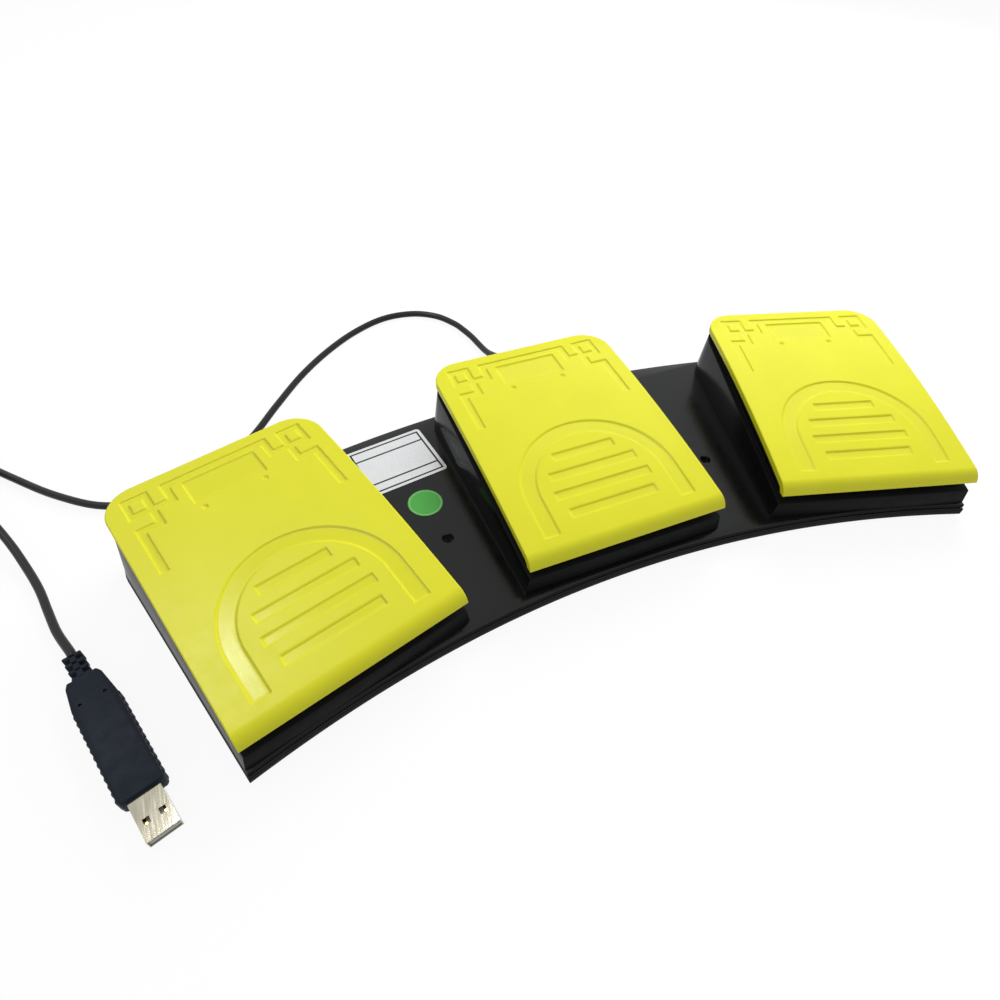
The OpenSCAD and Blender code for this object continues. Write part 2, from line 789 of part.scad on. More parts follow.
// Black box that carries a pedal
module pedal_box(side) {
    difference() {
        union() {
            difference() {
                union() {
                    leaning_wall();
                    intersection() {
                        translate([0, 0, deck_top]) linear_extrude(tread_top)
                            box_plan(ledge_w, front_ledge_w);
                        across(tread_w) upstand_view();
                    }
                    translate([0, 0, deck_bottom]) linear_extrude(deck_t + over)
                        box_plan(wall_t - locator_t, front_wall_t - locator_t);
                }
                linear_extrude(2 * tread_top) box_plan(wall_t, front_wall_t);
            }
            for (s = [-1, 1]) {
                translate([s > 0 ? cheek_u : -cheek_u - cheek_t, hinge_v - cheek_reach, cheek_low])
                    cube([cheek_t, box_rear - wall_t + over - hinge_v + cheek_reach,
                        hinge_z + cheek_top - cheek_low]);
                translate([s * hook_u - hook_w / 2 - catch_side, box_front + front_wall_t - over, catch_z])
                    cube([hook_w + 2 * catch_side, catch_reach + over, catch_t]);
            }
            if (side != 0) for (v = box_screw_v) box_boss(side, v);
        }
        bar(0, hinge_v, hinge_z, pin_d + 2 * pin_hold, 2 * (cheek_u + cheek_t) + over);
        if (side != 0) for (v = box_screw_v) translate([side * box_screw_u, v, 0])
            cylinder(d = screw_d + 2 * screw_play, h = cover_top + screw_reach + over);
        if (side == 0) translate([gland_x, box_rear + over, gland_z]) rotate([90, 0, 0])
            cylinder(d = gland_neck_d + 2 * gland_fit, h = wall_t + 2 * over);
    }
}

// Screw boss inside an outer box, tied to its side wall
module box_boss(side, v) {
    translate([side * box_screw_u, v, cover_top]) cylinder(d = boss_d, h = box_boss_top - cover_top);
    translate([side > 0 ? box_screw_u : -box_half_w + wall_t / 2, v - boss_rib_t / 2, deck_top])
        cube([box_half_w - wall_t / 2 - box_screw_u, boss_rib_t, box_boss_top - deck_top]);
}

// Deck: fan-shaped plate with openings under the boxes, a skirt and two through holes
module deck_plate() {
    color(black) difference() {
        union() {
            base_slab(deck_inset, deck_bottom, deck_top);
            difference() {
                base_slab(rim_t + skirt_gap, cover_top, deck_bottom + eps);
                base_slab(rim_t + skirt_gap + skirt_t, cover_top - over, deck_bottom + over);
            }
            for (x = [-1, 1]) translate([x * bolt_pitch / 2, fan_y + bolt_y, cover_top])
                cylinder(d = sleeve_d, h = deck_top - cover_top - eps);
            gap_screws() translate([0, 0, cover_top]) cylinder(d = boss_d, h = deck_top - cover_top - eps);
        }
        for (side = [-1 : 1]) at_pedal(side) translate([0, 0, deck_bottom - over])
            linear_extrude(deck_t + 2 * over)
                box_plan(wall_t - locator_t - locator_gap, front_wall_t - locator_t - locator_gap);
        for (x = [-1, 1]) translate([x * bolt_pitch / 2, fan_y + bolt_y, 0])
            cylinder(d = bolt_hole_d, h = tread_top);
        gap_screws() cylinder(d = screw_d + 2 * screw_play, h = cover_top + screw_reach + screw_run);
    }
}

// Places of the cover screws between the boxes
module gap_screws() {
    for (side = [-1, 1]) for (back = gap_screw_back) at_gap(side, back) children();
}

// Places of all cover screws
module all_screws() {
    gap_screws() children();
    for (side = [-1, 1]) for (v = box_screw_v) at_pedal(side)
        translate([side * box_screw_u, v, 0]) children();
}

module bottom_cover() {
    color(black) difference() {
        union() {
            difference() {
                base_slab(0, foot_h, foot_h + cover_h);
                base_slab(rim_t, cover_top, foot_h + cover_h + over);
            }
            for (side = [-1 : 1]) at_pedal(side) cover_furniture();
            for (p = board_screw_places) at_pedal(0) translate([p.x, board_v + p.y, cover_top - eps])
                cylinder(d = standoff_d, h = board_z - cover_top + eps);
        }
        all_screws() {
            translate([0, 0, foot_h - over])
                cylinder(d = screw_head_d + 2 * screw_play, h = over + screw_head_h);
            cylinder(d = screw_d + 2 * screw_play, h = cover_top + over);
        }
        for (x = [-1, 1]) translate([x * bolt_pitch / 2, fan_y + bolt_y, 0])
            cylinder(d = bolt_hole_d, h = tread_top);
        for (p = foot_places) at_pedal(p[0]) translate([p[1], p[2], 0])
            cylinder(d = foot_d + 2 * foot_gap, h = foot_h + foot_seat);
        for (p = board_screw_places) at_pedal(0) translate([p.x, board_v + p.y, cover_top])
            cylinder(d = board_screw_d + 2 * screw_play, h = board_z);
    }
}

// What stands on the cover under each pedal: stop posts, spring seat and switch bracket
module cover_furniture() {
    for (p = pad_places) translate([p.x, p.y, cover_top - eps])
        cylinder(d = pad_post_d, h = pad_top - pad_t - cover_top + eps);
    translate([0, spring_v, cover_top - eps]) cylinder(d = seat_d, h = seat_low - cover_top + eps);
    translate([0, spring_v, cover_top]) cylinder(d = spigot_d, h = seat_low - cover_top + spigot_h);
    difference() {
        translate([switch_w / 2 + bracket_gap, switch_front + bracket_inset, cover_top - eps])
            cube([bracket_t, switch_l - 2 * bracket_inset, switch_z - bracket_drop - cover_top]);
        bar(switch_w / 2 + bracket_gap + bracket_t / 2, terminal_v, terminal_lead_z, lead_pass_d,
            bracket_t + over);
    }
    for (s = [-1, 1])
        bar(bracket_gap / 2, switch_front + switch_l / 2 + s * peg_pitch / 2, switch_z - peg_drop, peg_d,
            switch_w + bracket_gap);
}

module rubber_feet() {
    color("dimgray") for (p = foot_places) at_pedal(p[0]) translate([p[1], p[2], 0])
        cylinder(d = foot_d, h = foot_h + foot_seat);
}

module cover_screws() {
    color(steel) all_screws() {
        translate([0, 0, foot_h]) cylinder(d = screw_head_d, h = screw_head_h);
        translate([0, 0, foot_h]) cylinder(d = screw_d, h = cover_floor + screw_reach);
    }
}

module stop_pads() {
    color("dimgray") for (side = [-1 : 1]) for (p = pad_places) at_pedal(side)
        translate([p.x, p.y, pad_top - pad_t]) cylinder(d = pad_d, h = pad_t);
}

// Return spring, one unbroken wire between the cover's seat and the frame's
spring_low = seat_low + spring_wire / 2 + spring_gap / 3;
spring_high = seat_high - spring_wire / 2 - spring_gap;
spring_steps = round(8 * spring_turns);
spring_path = [for (i = [0 : spring_steps]) let (a = 360 * spring_turns * i / spring_steps)
    [spring_d / 2 * cos(a), spring_v + spring_d / 2 * sin(a),
     spring_low + (spring_high - spring_low) * i / spring_steps]];
echo(spring_gap_between_turns = self_gap(spring_path, spring_wire, 5));

module return_spring() {
    tube(spring_path, spring_wire, 6);
}

// Switch body with its lugs, peg holes, button bore and terminals
module switch_body() {
    difference() {
        union() {
            translate([-switch_w / 2, switch_front, switch_z - switch_h])
                cube([switch_w, switch_l, switch_h]);
            for (s = [-1, 1]) translate([s > 0 ? switch_w / 2 - lug_t : -switch_w / 2, pivot_v - lug_l / 2,
                switch_z - eps]) cube([lug_t, lug_l, lug_h]);
            for (k = [-1 : 1]) translate([-terminal_w / 2,
                terminal_v + k * terminal_pitch - terminal_t / 2, switch_z - switch_h - terminal_h])
                cube([terminal_w, terminal_t, terminal_h + eps]);
        }
        for (s = [-1, 1]) bar(0, switch_front + switch_l / 2 + s * peg_pitch / 2, switch_z - peg_drop,
            peg_d + 2 * peg_run, 2 * switch_w);
        bar(0, pivot_v, pivot_z, pivot_pin_d + 2 * pivot_run, 2 * switch_w);
        translate([0, button_v, button_top - button_l - button_travel - button_room])
            cylinder(d = button_d + 2 * button_run, h = switch_h);
    }
}

// Switch lever on its pivot pin, at rest tilted up towards the front
module switch_lever() {
    bar(0, pivot_v, pivot_z, pivot_pin_d, switch_w);
    bar(0, pivot_v, pivot_z, barrel_d, lever_w);
    translate([0, pivot_v, pivot_z]) rotate([-lever_turn, 0, 0])
        translate([-lever_w / 2, -lever_arm - lever_overhang, -lever_t / 2])
            cube([lever_w, lever_arm + lever_overhang, lever_t]);
}

module switch_button() {
    translate([0, button_v, button_top - button_l]) cylinder(d = button_d, h = button_l);
}

module circuit_board() {
    color("darkgreen") at_pedal(0) difference() {
        union() {
            translate([-board_w / 2, board_v, board_z]) cube([board_w, board_l, board_t]);
            translate([-chip_w / 2, board_v + chip_back, board_z]) cube([chip_w, chip_w, board_t + chip_h]);
            for (s = [-1, 1]) translate([s * (board_w - socket_w) / 2 - socket_w / 2,
                board_v + side_socket_back - socket_l / 2, board_z])
                cube([socket_w, socket_l, board_t + socket_h]);
            translate([front_socket_u - socket_l / 2, board_v, board_z])
                cube([socket_l, socket_w, board_t + socket_h]);
            translate([rear_socket_u - socket_l / 2, board_v + board_l - socket_w, board_z])
                cube([socket_l, socket_w, board_t + socket_h]);
        }
        for (p = board_screw_places) translate([p.x, board_v + p.y, 0])
            cylinder(d = board_screw_d + 2 * screw_play, h = tread_top);
    }
}

module board_screws() {
    color(steel) for (p = board_screw_places) at_pedal(0) translate([p.x, board_v + p.y, 0]) {
        translate([0, 0, cover_top + board_screw_rise])
            cylinder(d = board_screw_d, h = board_z + board_t - cover_top);
        translate([0, 0, board_z + board_t]) cylinder(d = 2 * board_screw_d, h = board_screw_head_h);
    }
}

module wiring() {
    color("gray") {
        for (side = [-1, 1]) tube(outer_lead(side), lead_d, 8);
        tube(middle_lead, lead_d, 8);
        tube(cord_lead, lead_d, 8);
    }
}

// Strain relief: inner flange, neck in the box wall, outer flange and tapered boot
module cord_grommet() {
    color(black) translate([gland_x, gland_y, gland_z]) rotate([-90, 0, 0]) rotate_extrude()
        polygon([[0, -wall_t - gland_flange_t], [gland_flange_d / 2, -wall_t - gland_flange_t],
            [gland_flange_d / 2, -wall_t - gland_fit], [gland_neck_d / 2, -wall_t - gland_fit],
            [gland_neck_d / 2, gland_fit], [gland_flange_d / 2, gland_fit],
            [gland_flange_d / 2, gland_flange_t], [gland_boot_d / 2, gland_flange_t],
            [gland_tip_d / 2, gland_flange_t + gland_boot_l], [0, gland_flange_t + gland_boot_l]]);
}

module cord_from_pedal() {
    color(black) tube(smooth(route_to_coil), cord_d, 8);
}

module cord_coil() {
    color(black) tube(coil_path, cord_d, 6);
}

module cord_to_plug() {
    color(black) tube(smooth(route_to_plug), cord_d, 8);
}

// Flat strap round one side of the coil
module coil_tie() {
    near = coil_inner_r - cord_d / 2 - tie_gap;
    far = coil_outer_r + cord_d / 2 + tie_gap;
    high = coil_low + (coil_layers - 1) * coil_pitch + cord_d / 2 + tie_gap;
    color(black) translate([coil_centre.x, coil_centre.y, 0]) rotate(tie_angle)
        rotate([90, 0, 0]) linear_extrude(tie_w, center = true) difference() {
            translate([near - tie_t, 0]) square([far - near + 2 * tie_t, high + tie_t]);
            translate([near, tie_t]) square([far - near, high - tie_t]);
        }
}

// Puts a piece of the plug in place: x along the plug from the lead's end, y across, z up
module at_plug() {
    translate([plug_at.x, plug_at.y, 0]) rotate(plug_turn) children();
}

// Sleeve behind the grip with slots that let it bend
relief_w = 7.4;
relief_h = 6.2;
slot_l = 1.3;
slot_depth = 1.7;
slot_pitch = 3.6;
slot_start = 2.2;
module plug_relief() {
    color(black) at_plug() difference() {
        translate([0, -relief_w / 2, plug_mid - relief_h / 2]) cube([relief_l, relief_w, relief_h]);
        for (k = [0 : 2]) for (s = [-1, 1]) translate([slot_start + k * slot_pitch,
            s > 0 ? relief_w / 2 - slot_depth : -relief_w / 2 - over, plug_mid - relief_h])
            cube([slot_l, slot_depth + over, 2 * relief_h]);
    }
}

// Grip of the plug, drawn in at the lead's end
grip_end_w = 11.4;
grip_taper = 13;
shoulder_l = 3;
shoulder_w = grip_end_w / 2 + 1.6;
module plug_overmould() {
    color([0.11, 0.12, 0.15]) at_plug() translate([relief_l, 0, 0]) linear_extrude(grip_h) polygon([
        [0, -grip_end_w / 2], [shoulder_l, -shoulder_w], [grip_taper, -grip_w / 2], [grip_l, -grip_w / 2],
        [grip_l, grip_w / 2], [grip_taper, grip_w / 2], [shoulder_l, shoulder_w], [0, grip_end_w / 2]]);
}

// Metal shell with two windows in its top
window_l = 2.6;
window_w = 2.4;
window_u = 2.9;
window_back = 8.6;
module plug_shell() {
    color(steel) at_plug() translate([relief_l + grip_l, 0, plug_mid]) difference() {
        translate([0, -shell_w / 2, -shell_h / 2]) cube([shell_l, shell_w, shell_h]);
        translate([-over, -shell_w / 2 + shell_t, -shell_h / 2 + shell_t])
            cube([shell_l + 2 * over, shell_w - 2 * shell_t, shell_h - 2 * shell_t]);
        for (s = [-1, 1]) translate([window_back, s * window_u - window_w / 2, 0])
            cube([window_l, window_w, shell_h]);
    }
}

// Plastic tongue and its four contacts inside the shell
tongue_h = 1.9;
tongue_gap = 0.1;
tongue_short = 0.6;
tongue_z = plug_mid - shell_h / 2 + shell_t + tongue_gap;
contact_t = 0.2;
contact_w = 1;
contact_l = 11;
contact_back = 1.6;
contact_places = [-3.5, -1, 1, 3.5];
module plug_tongue() {
    color("whitesmoke") at_plug()
        translate([relief_l + grip_l, -shell_w / 2 + shell_t + tongue_gap, tongue_z])
            cube([shell_l - tongue_short, shell_w - 2 * shell_t - 2 * tongue_gap, tongue_h]);
}

module plug_contacts() {
    color("goldenrod") at_plug() for (y = contact_places)
        translate([relief_l + grip_l + shell_l - contact_l - contact_back, y - contact_w / 2,
            tongue_z + tongue_h]) cube([contact_l, contact_w, contact_t]);
}

// Silver label and green round sticker on the deck
module spec_label() {
    color("silver") at_gap(-1, label_back) translate([0, 0, deck_top]) linear_extrude(label_t)
        plan(label_w / 2, -label_l / 2, label_l / 2, label_corner_r, label_corner_r);
}

module round_sticker() {
    color([0.25, 0.62, 0.27]) at_gap(-1, sticker_back) translate([0, 0, deck_top])
        cylinder(d = sticker_d, h = sticker_t);
}

// One copy of each pedal piece on its side
module pedal_left() { color(yellow) at_pedal(-1) tread(); }
module pedal_centre() { color(yellow) at_pedal(0) tread(); }
module pedal_right() { color(yellow) at_pedal(1) tread(); }
module pedal_frame_left() { color(black) at_pedal(-1) pedal_frame(); }
module pedal_frame_centre() { color(black) at_pedal(0) pedal_frame(); }
module pedal_frame_right() { color(black) at_pedal(1) pedal_frame(); }
module pedal_box_left() { color(black) at_pedal(-1) pedal_box(-1); }
module pedal_box_centre() { color(black) at_pedal(0) pedal_box(0); }
module pedal_box_right() { color(black) at_pedal(1) pedal_box(1); }
module hinge_pin_left() { color(steel) at_pedal(-1) hinge_pin(); }
module hinge_pin_centre() { color(steel) at_pedal(0) hinge_pin(); }
module hinge_pin_right() { color(steel) at_pedal(1) hinge_pin(); }
module return_spring_left() { color(steel) at_pedal(-1) return_spring(); }
module return_spring_centre() { color(steel) at_pedal(0) return_spring(); }
module return_spring_right() { color(steel) at_pedal(1) return_spring(); }
module switch_body_left() { color("maroon") at_pedal(-1) switch_body(); }
module switch_body_centre() { color("maroon") at_pedal(0) switch_body(); }
module switch_body_right() { color("maroon") at_pedal(1) switch_body(); }
module switch_lever_left() { color(steel) at_pedal(-1) switch_lever(); }
module switch_lever_centre() { color(steel) at_pedal(0) switch_lever(); }
module switch_lever_right() { color(steel) at_pedal(1) switch_lever(); }
module switch_button_left() { color("crimson") at_pedal(-1) switch_button(); }
module switch_button_centre() { color("crimson") at_pedal(0) switch_button(); }
module switch_button_right() { color("crimson") at_pedal(1) switch_button(); }

bottom_cover();
rubber_feet();
cover_screws();
deck_plate();
pedal_box_left();
pedal_box_centre();
pedal_box_right();
pedal_left();
pedal_centre();
pedal_right();
pedal_frame_left();
pedal_frame_centre();
pedal_frame_right();
hinge_pin_left();
hinge_pin_centre();
hinge_pin_right();
return_spring_left();
return_spring_centre();
return_spring_right();
switch_body_left();
switch_body_centre();
switch_body_right();
switch_lever_left();
switch_lever_centre();
switch_lever_right();
switch_button_left();
switch_button_centre();
switch_button_right();
stop_pads();
circuit_board();
board_screws();
wiring();
cord_grommet();
cord_from_pedal();
cord_coil();
coil_tie();
cord_to_plug();
plug_relief();
plug_overmould();
plug_shell();
plug_tongue();
plug_contacts();
spec_label();
round_sticker();
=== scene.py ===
import math

import bmesh
import bpy
import numpy as np
from mathutils import Matrix, Vector
from mathutils.geometry import tessellate_polygon


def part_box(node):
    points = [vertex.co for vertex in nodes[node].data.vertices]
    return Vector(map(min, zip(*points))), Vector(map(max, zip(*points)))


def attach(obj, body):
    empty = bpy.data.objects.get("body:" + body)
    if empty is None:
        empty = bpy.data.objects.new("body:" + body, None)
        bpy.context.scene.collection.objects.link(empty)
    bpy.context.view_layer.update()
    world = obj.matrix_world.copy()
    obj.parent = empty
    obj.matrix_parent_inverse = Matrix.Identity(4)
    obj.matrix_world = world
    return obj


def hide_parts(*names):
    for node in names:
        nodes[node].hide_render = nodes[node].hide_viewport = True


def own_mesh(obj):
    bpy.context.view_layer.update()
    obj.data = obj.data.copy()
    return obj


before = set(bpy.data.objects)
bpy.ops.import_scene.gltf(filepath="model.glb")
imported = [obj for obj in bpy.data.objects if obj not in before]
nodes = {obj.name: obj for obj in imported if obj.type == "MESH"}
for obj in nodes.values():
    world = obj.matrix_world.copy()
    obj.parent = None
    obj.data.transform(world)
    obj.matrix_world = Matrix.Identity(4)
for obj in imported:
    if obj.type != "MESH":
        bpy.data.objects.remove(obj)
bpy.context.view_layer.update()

scene = bpy.context.scene

# Sizes in millimetres and angles in degrees, the same as the solids have
MM = 0.001
SIDES = {"left": -1, "centre": 0, "right": 1}
FAN_R = 459
FAN_ANGLE = 16.15
TREAD_W = 100
TREAD_L = 130
TREAD_T = 3.2
TREAD_TOP = 37
CROWN_BACK = 5
CROWN_R = 820
TREAD_CORNER_R = 15
ROLL_R = 7
LIP_DROP = 14.2
PRESS_ANGLE = 2.4
HINGE_BACK = 12
FOOT_H = 1
FOOT_D = 16
COVER_FLOOR = 2
COVER_H = 4.5
RIM_T = 2.2
SEAM = 0.6
DECK_T = 2
DECK_INSET = 0.6
SKIRT_GAP = 0.3
SKIRT_T = 1.6
SIDE_MARGIN = 1.8
SIDE_SPREAD = 1.2
BASE_CORNER_R = 19
FRONT_MARGIN = 3.2
REAR_MARGIN = 2.4
FRONT_ARC_SHIFT = 66.4
BOLT_HOLE_D = 5
BOLT_PITCH = 144
BOLT_BACK = 47.2
BOX_INSET = 0.5
BOX_REAR_INSET = 1
LEDGE_W = 2.2
FRONT_LEDGE_W = 4.1
UPSTAND_T = 1.6
UPSTAND_GAP = 0.4
LEDGE_GAP = 0.86
LEDGE_REAR_GAP = 2.6
BOX_FRONT_R = 2.5
FOOT_STEP = 0.2
LOCATOR_T = 0.8
LOCATOR_GAP = 0.2
CORD_D = 3.8
GRIP_W = 17.6
GRIP_H = 8.5
GRIP_L = 58
RELIEF_L = 13

# Values worked out from them
FAN_TURN = math.radians(FAN_ANGLE)
SPREAD_TURN = math.radians(SIDE_SPREAD)
HINGE_V = TREAD_L - HINGE_BACK
hinge_low, hinge_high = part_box("hinge_pin_centre")
FAN_Y = (hinge_low.y + hinge_high.y) / 2 / MM - FAN_R - HINGE_V
PRESS_SIN = math.sin(math.radians(PRESS_ANGLE))
COVER_TOP = FOOT_H + COVER_FLOOR
RIM_TOP = FOOT_H + COVER_H
DECK_BOTTOM = RIM_TOP + SEAM
DECK_TOP = DECK_BOTTOM + DECK_T
CROWN_V = TREAD_L - CROWN_BACK
CROWN_Z = TREAD_TOP - CROWN_R
LIP_Z = TREAD_TOP - LIP_DROP
ROLL_Z = CROWN_Z + math.sqrt((CROWN_R - ROLL_R) ** 2 - (CROWN_V - ROLL_R) ** 2)
WALL_T = LEDGE_W + UPSTAND_T
FRONT_WALL_T = FRONT_LEDGE_W + UPSTAND_T
BOX_HALF_W = TREAD_W / 2 - BOX_INSET
BOX_FRONT = BOX_INSET
BOX_REAR = TREAD_L - BOX_REAR_INSET
BOX_REAR_R = TREAD_CORNER_R - BOX_INSET
LEDGE_FRONT_Z = LIP_Z - HINGE_V * PRESS_SIN - LEDGE_GAP
LEDGE_REAR_Z = TREAD_TOP - TREAD_T - LEDGE_REAR_GAP
BASE_HALF_W = TREAD_W / 2 + SIDE_MARGIN
REAR_ARC_R = FAN_R + TREAD_L - REAR_MARGIN
FRONT_ARC_R = FAN_R - FRONT_MARGIN + FRONT_ARC_SHIFT
BOLT_Y = FAN_Y + math.sqrt((FAN_R + BOLT_BACK) ** 2 - (BOLT_PITCH / 2) ** 2)

# Camera at the photograph's place
CAMERA_AT = (-137.62, -200.25, 262.56)
CAMERA_LOOK = (0.28517, 0.60570, -0.74284)
CAMERA_UP = (0.27231, 0.69188, 0.66869)
CAMERA_LENS = 25.093
CAMERA_NEAR = 0.01


def add_camera():
    """The camera of the main view."""
    camera = bpy.data.objects.new("camera", bpy.data.cameras.new("camera"))
    camera.data.lens = CAMERA_LENS
    camera.data.clip_start = CAMERA_NEAR
    back = -Vector(CAMERA_LOOK).normalized()
    right = Vector(CAMERA_UP).cross(back).normalized()
    turn = Matrix((right, back.cross(right), back)).transposed()
    camera.matrix_world = Matrix.Translation(Vector(CAMERA_AT) * MM) @ turn.to_4x4()
    scene.collection.objects.link(camera)
    scene.camera = camera


# Node trees

def add(tree, kind, inputs=None, **settings):
    """A new node with its settings; an input is a value or the socket it is linked from."""
    node = tree.nodes.new(kind)
    for name, value in settings.items():
        setattr(node, name, value)
    for key, value in (inputs or {}).items():
        if isinstance(value, bpy.types.NodeSocket):
            tree.links.new(value, node.inputs[key])
        else:
            node.inputs[key].default_value = value
    return node


def node_group(name, kind, inputs, outputs):
    """An empty node group with named sockets, and its input and output nodes."""
    tree = bpy.data.node_groups.new(name, kind)
    for way, sockets in (("INPUT", inputs), ("OUTPUT", outputs)):
        for label, sort in sockets.items():
            tree.interface.new_socket(label, in_out=way, socket_type="NodeSocket" + sort)
    return tree, add(tree, "NodeGroupInput"), add(tree, "NodeGroupOutput")


def figure(tree, operation, *values):
    """The result of one operation on sockets or numbers."""
    return add(tree, "ShaderNodeMath", dict(enumerate(values)), operation=operation).outputs[0]


def ramp(tree, value, low, high, first=0.0, last=1.0):
    """A value that goes from first to last while another goes from low to high."""
    return add(tree, "ShaderNodeMapRange", {
        "Value": value, "From Min": low, "From Max": high, "To Min": first, "To Max": last}).outputs[0]


def mix_colour(tree, part, first, second):
    """A colour that goes from the first to the second with part."""
    return add(tree, "ShaderNodeMix", {0: part, 6: first, 7: second}, data_type="RGBA").outputs[2]


def noise(tree, place, scale, detail):
    """Soft noise at a place."""
    return add(tree, "ShaderNodeTexNoise", {"Vector": place, "Scale": scale, "Detail": detail}).outputs["Fac"]


# Groups for the finishes that materials share, with noise scales per metre
CLOUD_SCALE = 38.0
CLOUD_RANGE = (0.35, 0.65)
PATCH_SCALE = 210.0
TARNISH_SCALE = 160.0
STREAK_STRETCH = (1.0, 0.08, 1.0)
GLOSS_RANGE = (0.3, 0.7)
BUMP_DEPTH = 0.0002
SURFACE_INPUTS = {"Colour": "Color", "Drift": "Color", "Grain": "Float", "Smooth": "Float", "Dull": "Float"}
SURFACE_OUTPUTS = {"Colour": "Color", "Roughness": "Float", "Height": "Float"}


def surface_group(name, masks):
    """A group for a surface's colour, roughness and height, from three masks that a function makes."""
    tree, given, made = node_group(name, "ShaderNodeTree", SURFACE_INPUTS, SURFACE_OUTPUTS)
    values = given.outputs
    place = add(tree, "ShaderNodeTexCoord").outputs["Object"]
    drift, gloss, height = masks(tree, place, values["Grain"])
    results = {
        "Colour": mix_colour(tree, drift, values["Colour"], values["Drift"]),
        "Roughness": ramp(tree, gloss, *GLOSS_RANGE, values["Smooth"], values["Dull"]),
        "Height": height}
    for label, socket in results.items():
        tree.links.new(socket, made.inputs[label])
    return tree


def moulded_masks(tree, place, grain):
    """Colour drift in soft clouds, gloss in patches and the fine grain of a moulding."""
    drift = ramp(tree, noise(tree, place, CLOUD_SCALE, 3.0), *CLOUD_RANGE)
    return drift, noise(tree, place, PATCH_SCALE, 4.0), noise(tree, place, grain, 3.0)


def drawn_masks(tree, place, grain):
    """Faint tarnish and the fine streaks of drawn or rolled metal."""
    stretch = add(tree, "ShaderNodeMapping", {"Vector": place, "Scale": STREAK_STRETCH})
    streak = noise(tree, stretch.outputs[0], grain, 4.0)
    return noise(tree, place, TARNISH_SCALE, 2.0), streak, streak


MOULDED = surface_group("moulded_surface", moulded_masks)
DRAWN = surface_group("drawn_metal", drawn_masks)


def shade(colour, part):
    """A colour darkened or lightened by a part of itself."""
    return tuple(min(1.0, c * part) for c in colour) + (1.0,)


def surface_material(name, group, metallic, colour, smooth, dull, grain, bump, drift, specular):
    """A material whose colour, roughness and relief come from a surface group."""
    material = bpy.data.materials.new(name)
    material.use_nodes = True
    tree = material.node_tree
    shader = tree.nodes["Principled BSDF"]
    shader.inputs["Metallic"].default_value = metallic
    shader.inputs["Specular IOR Level"].default_value = specular
    surface = add(tree, "ShaderNodeGroup", {
        "Colour": shade(colour, 1.0), "Drift": shade(colour, drift), "Grain": grain, "Smooth": smooth,
        "Dull": dull}, node_tree=group)
    relief = add(tree, "ShaderNodeBump", {
        "Height": surface.outputs["Height"], "Strength": bump, "Distance": BUMP_DEPTH})
    tree.links.new(surface.outputs["Colour"], shader.inputs["Base Color"])
    tree.links.new(surface.outputs["Roughness"], shader.inputs["Roughness"])
    tree.links.new(relief.outputs["Normal"], shader.inputs["Normal"])
    return material


def plastic(name, colour, smooth=0.3, dull=0.4, grain=1500.0, bump=0.1, drift=0.86, specular=0.5):
    """A moulding, or rubber where it is dull."""
    return surface_material(name, MOULDED, 0.0, colour, smooth, dull, grain, bump, drift, specular)


def metal(name, colour, smooth=0.2, dull=0.35, streaks=900.0, bump=0.08, drift=0.8, metallic=1.0):
    """Drawn, rolled or plated metal."""
    return surface_material(name, DRAWN, metallic, colour, smooth, dull, streaks, bump, drift, 0.5)


def lay_over(material, socket, mask, over):
    """Lays a colour or value over what feeds a socket of the shader, where a mask says so."""
    tree = material.node_tree
    target = tree.nodes["Principled BSDF"].inputs[socket]
    under = target.links[0].from_socket
    if socket == "Base Color":
        mixed = mix_colour(tree, mask, under, over)
    else:
        mixed = add(tree, "ShaderNodeMix", {0: mask, 2: under, 3: over}).outputs[0]
    tree.links.new(mixed, target)


# Treads are grained on top and polished along the middle of their sunk lines
POLISH = "polish"
POLISH_ROUGHNESS = 0.18


def tread_material():
    """Yellow moulding, polished where its point attribute says so."""
    material = plastic("tread_yellow", (0.84, 0.825, 0.012), 0.38, 0.46, 2100.0, 0.3, 0.97, 0.42)
    polish = add(material.node_tree, "ShaderNodeAttribute", attribute_name=POLISH)
    lay_over(material, "Roughness", polish.outputs["Fac"], POLISH_ROUGHNESS)
    return material


# The label carries plain ruled lines only, whose edges are soft over a part of their width
LABEL_W = 42
LABEL_L = 34
LABEL_BACK = 104.5
LABEL_FRAME = 2.1
LABEL_LINE = 0.95
LABEL_ROWS = (8.6, -9.6)
LABEL_INK = (0.012, 0.012, 0.014, 1.0)
LINE_SOFT = 0.3


def at_gap_place(side, back):
    """Middle and turn of a piece that lies on the deck between two pedals."""
    turn = -side * FAN_TURN / 2
    reach = FAN_R + back
    return Vector((-math.sin(turn) * reach, FAN_Y + math.cos(turn) * reach, DECK_TOP)), turn


def away_from(tree, socket, at):
    """Distance, in metres, of a place along a line from one that is given in millimetres."""
    return figure(tree, "ABSOLUTE", figure(tree, "SUBTRACT", socket, at * MM))


def drawn_line(tree, away, width):
    """1 on a line of a width and 0 beside it, from the distance to its middle."""
    half = width / 2 * MM
    return ramp(tree, away, (1 - LINE_SOFT) * half, (1 + LINE_SOFT) * half, 1.0, 0.0)


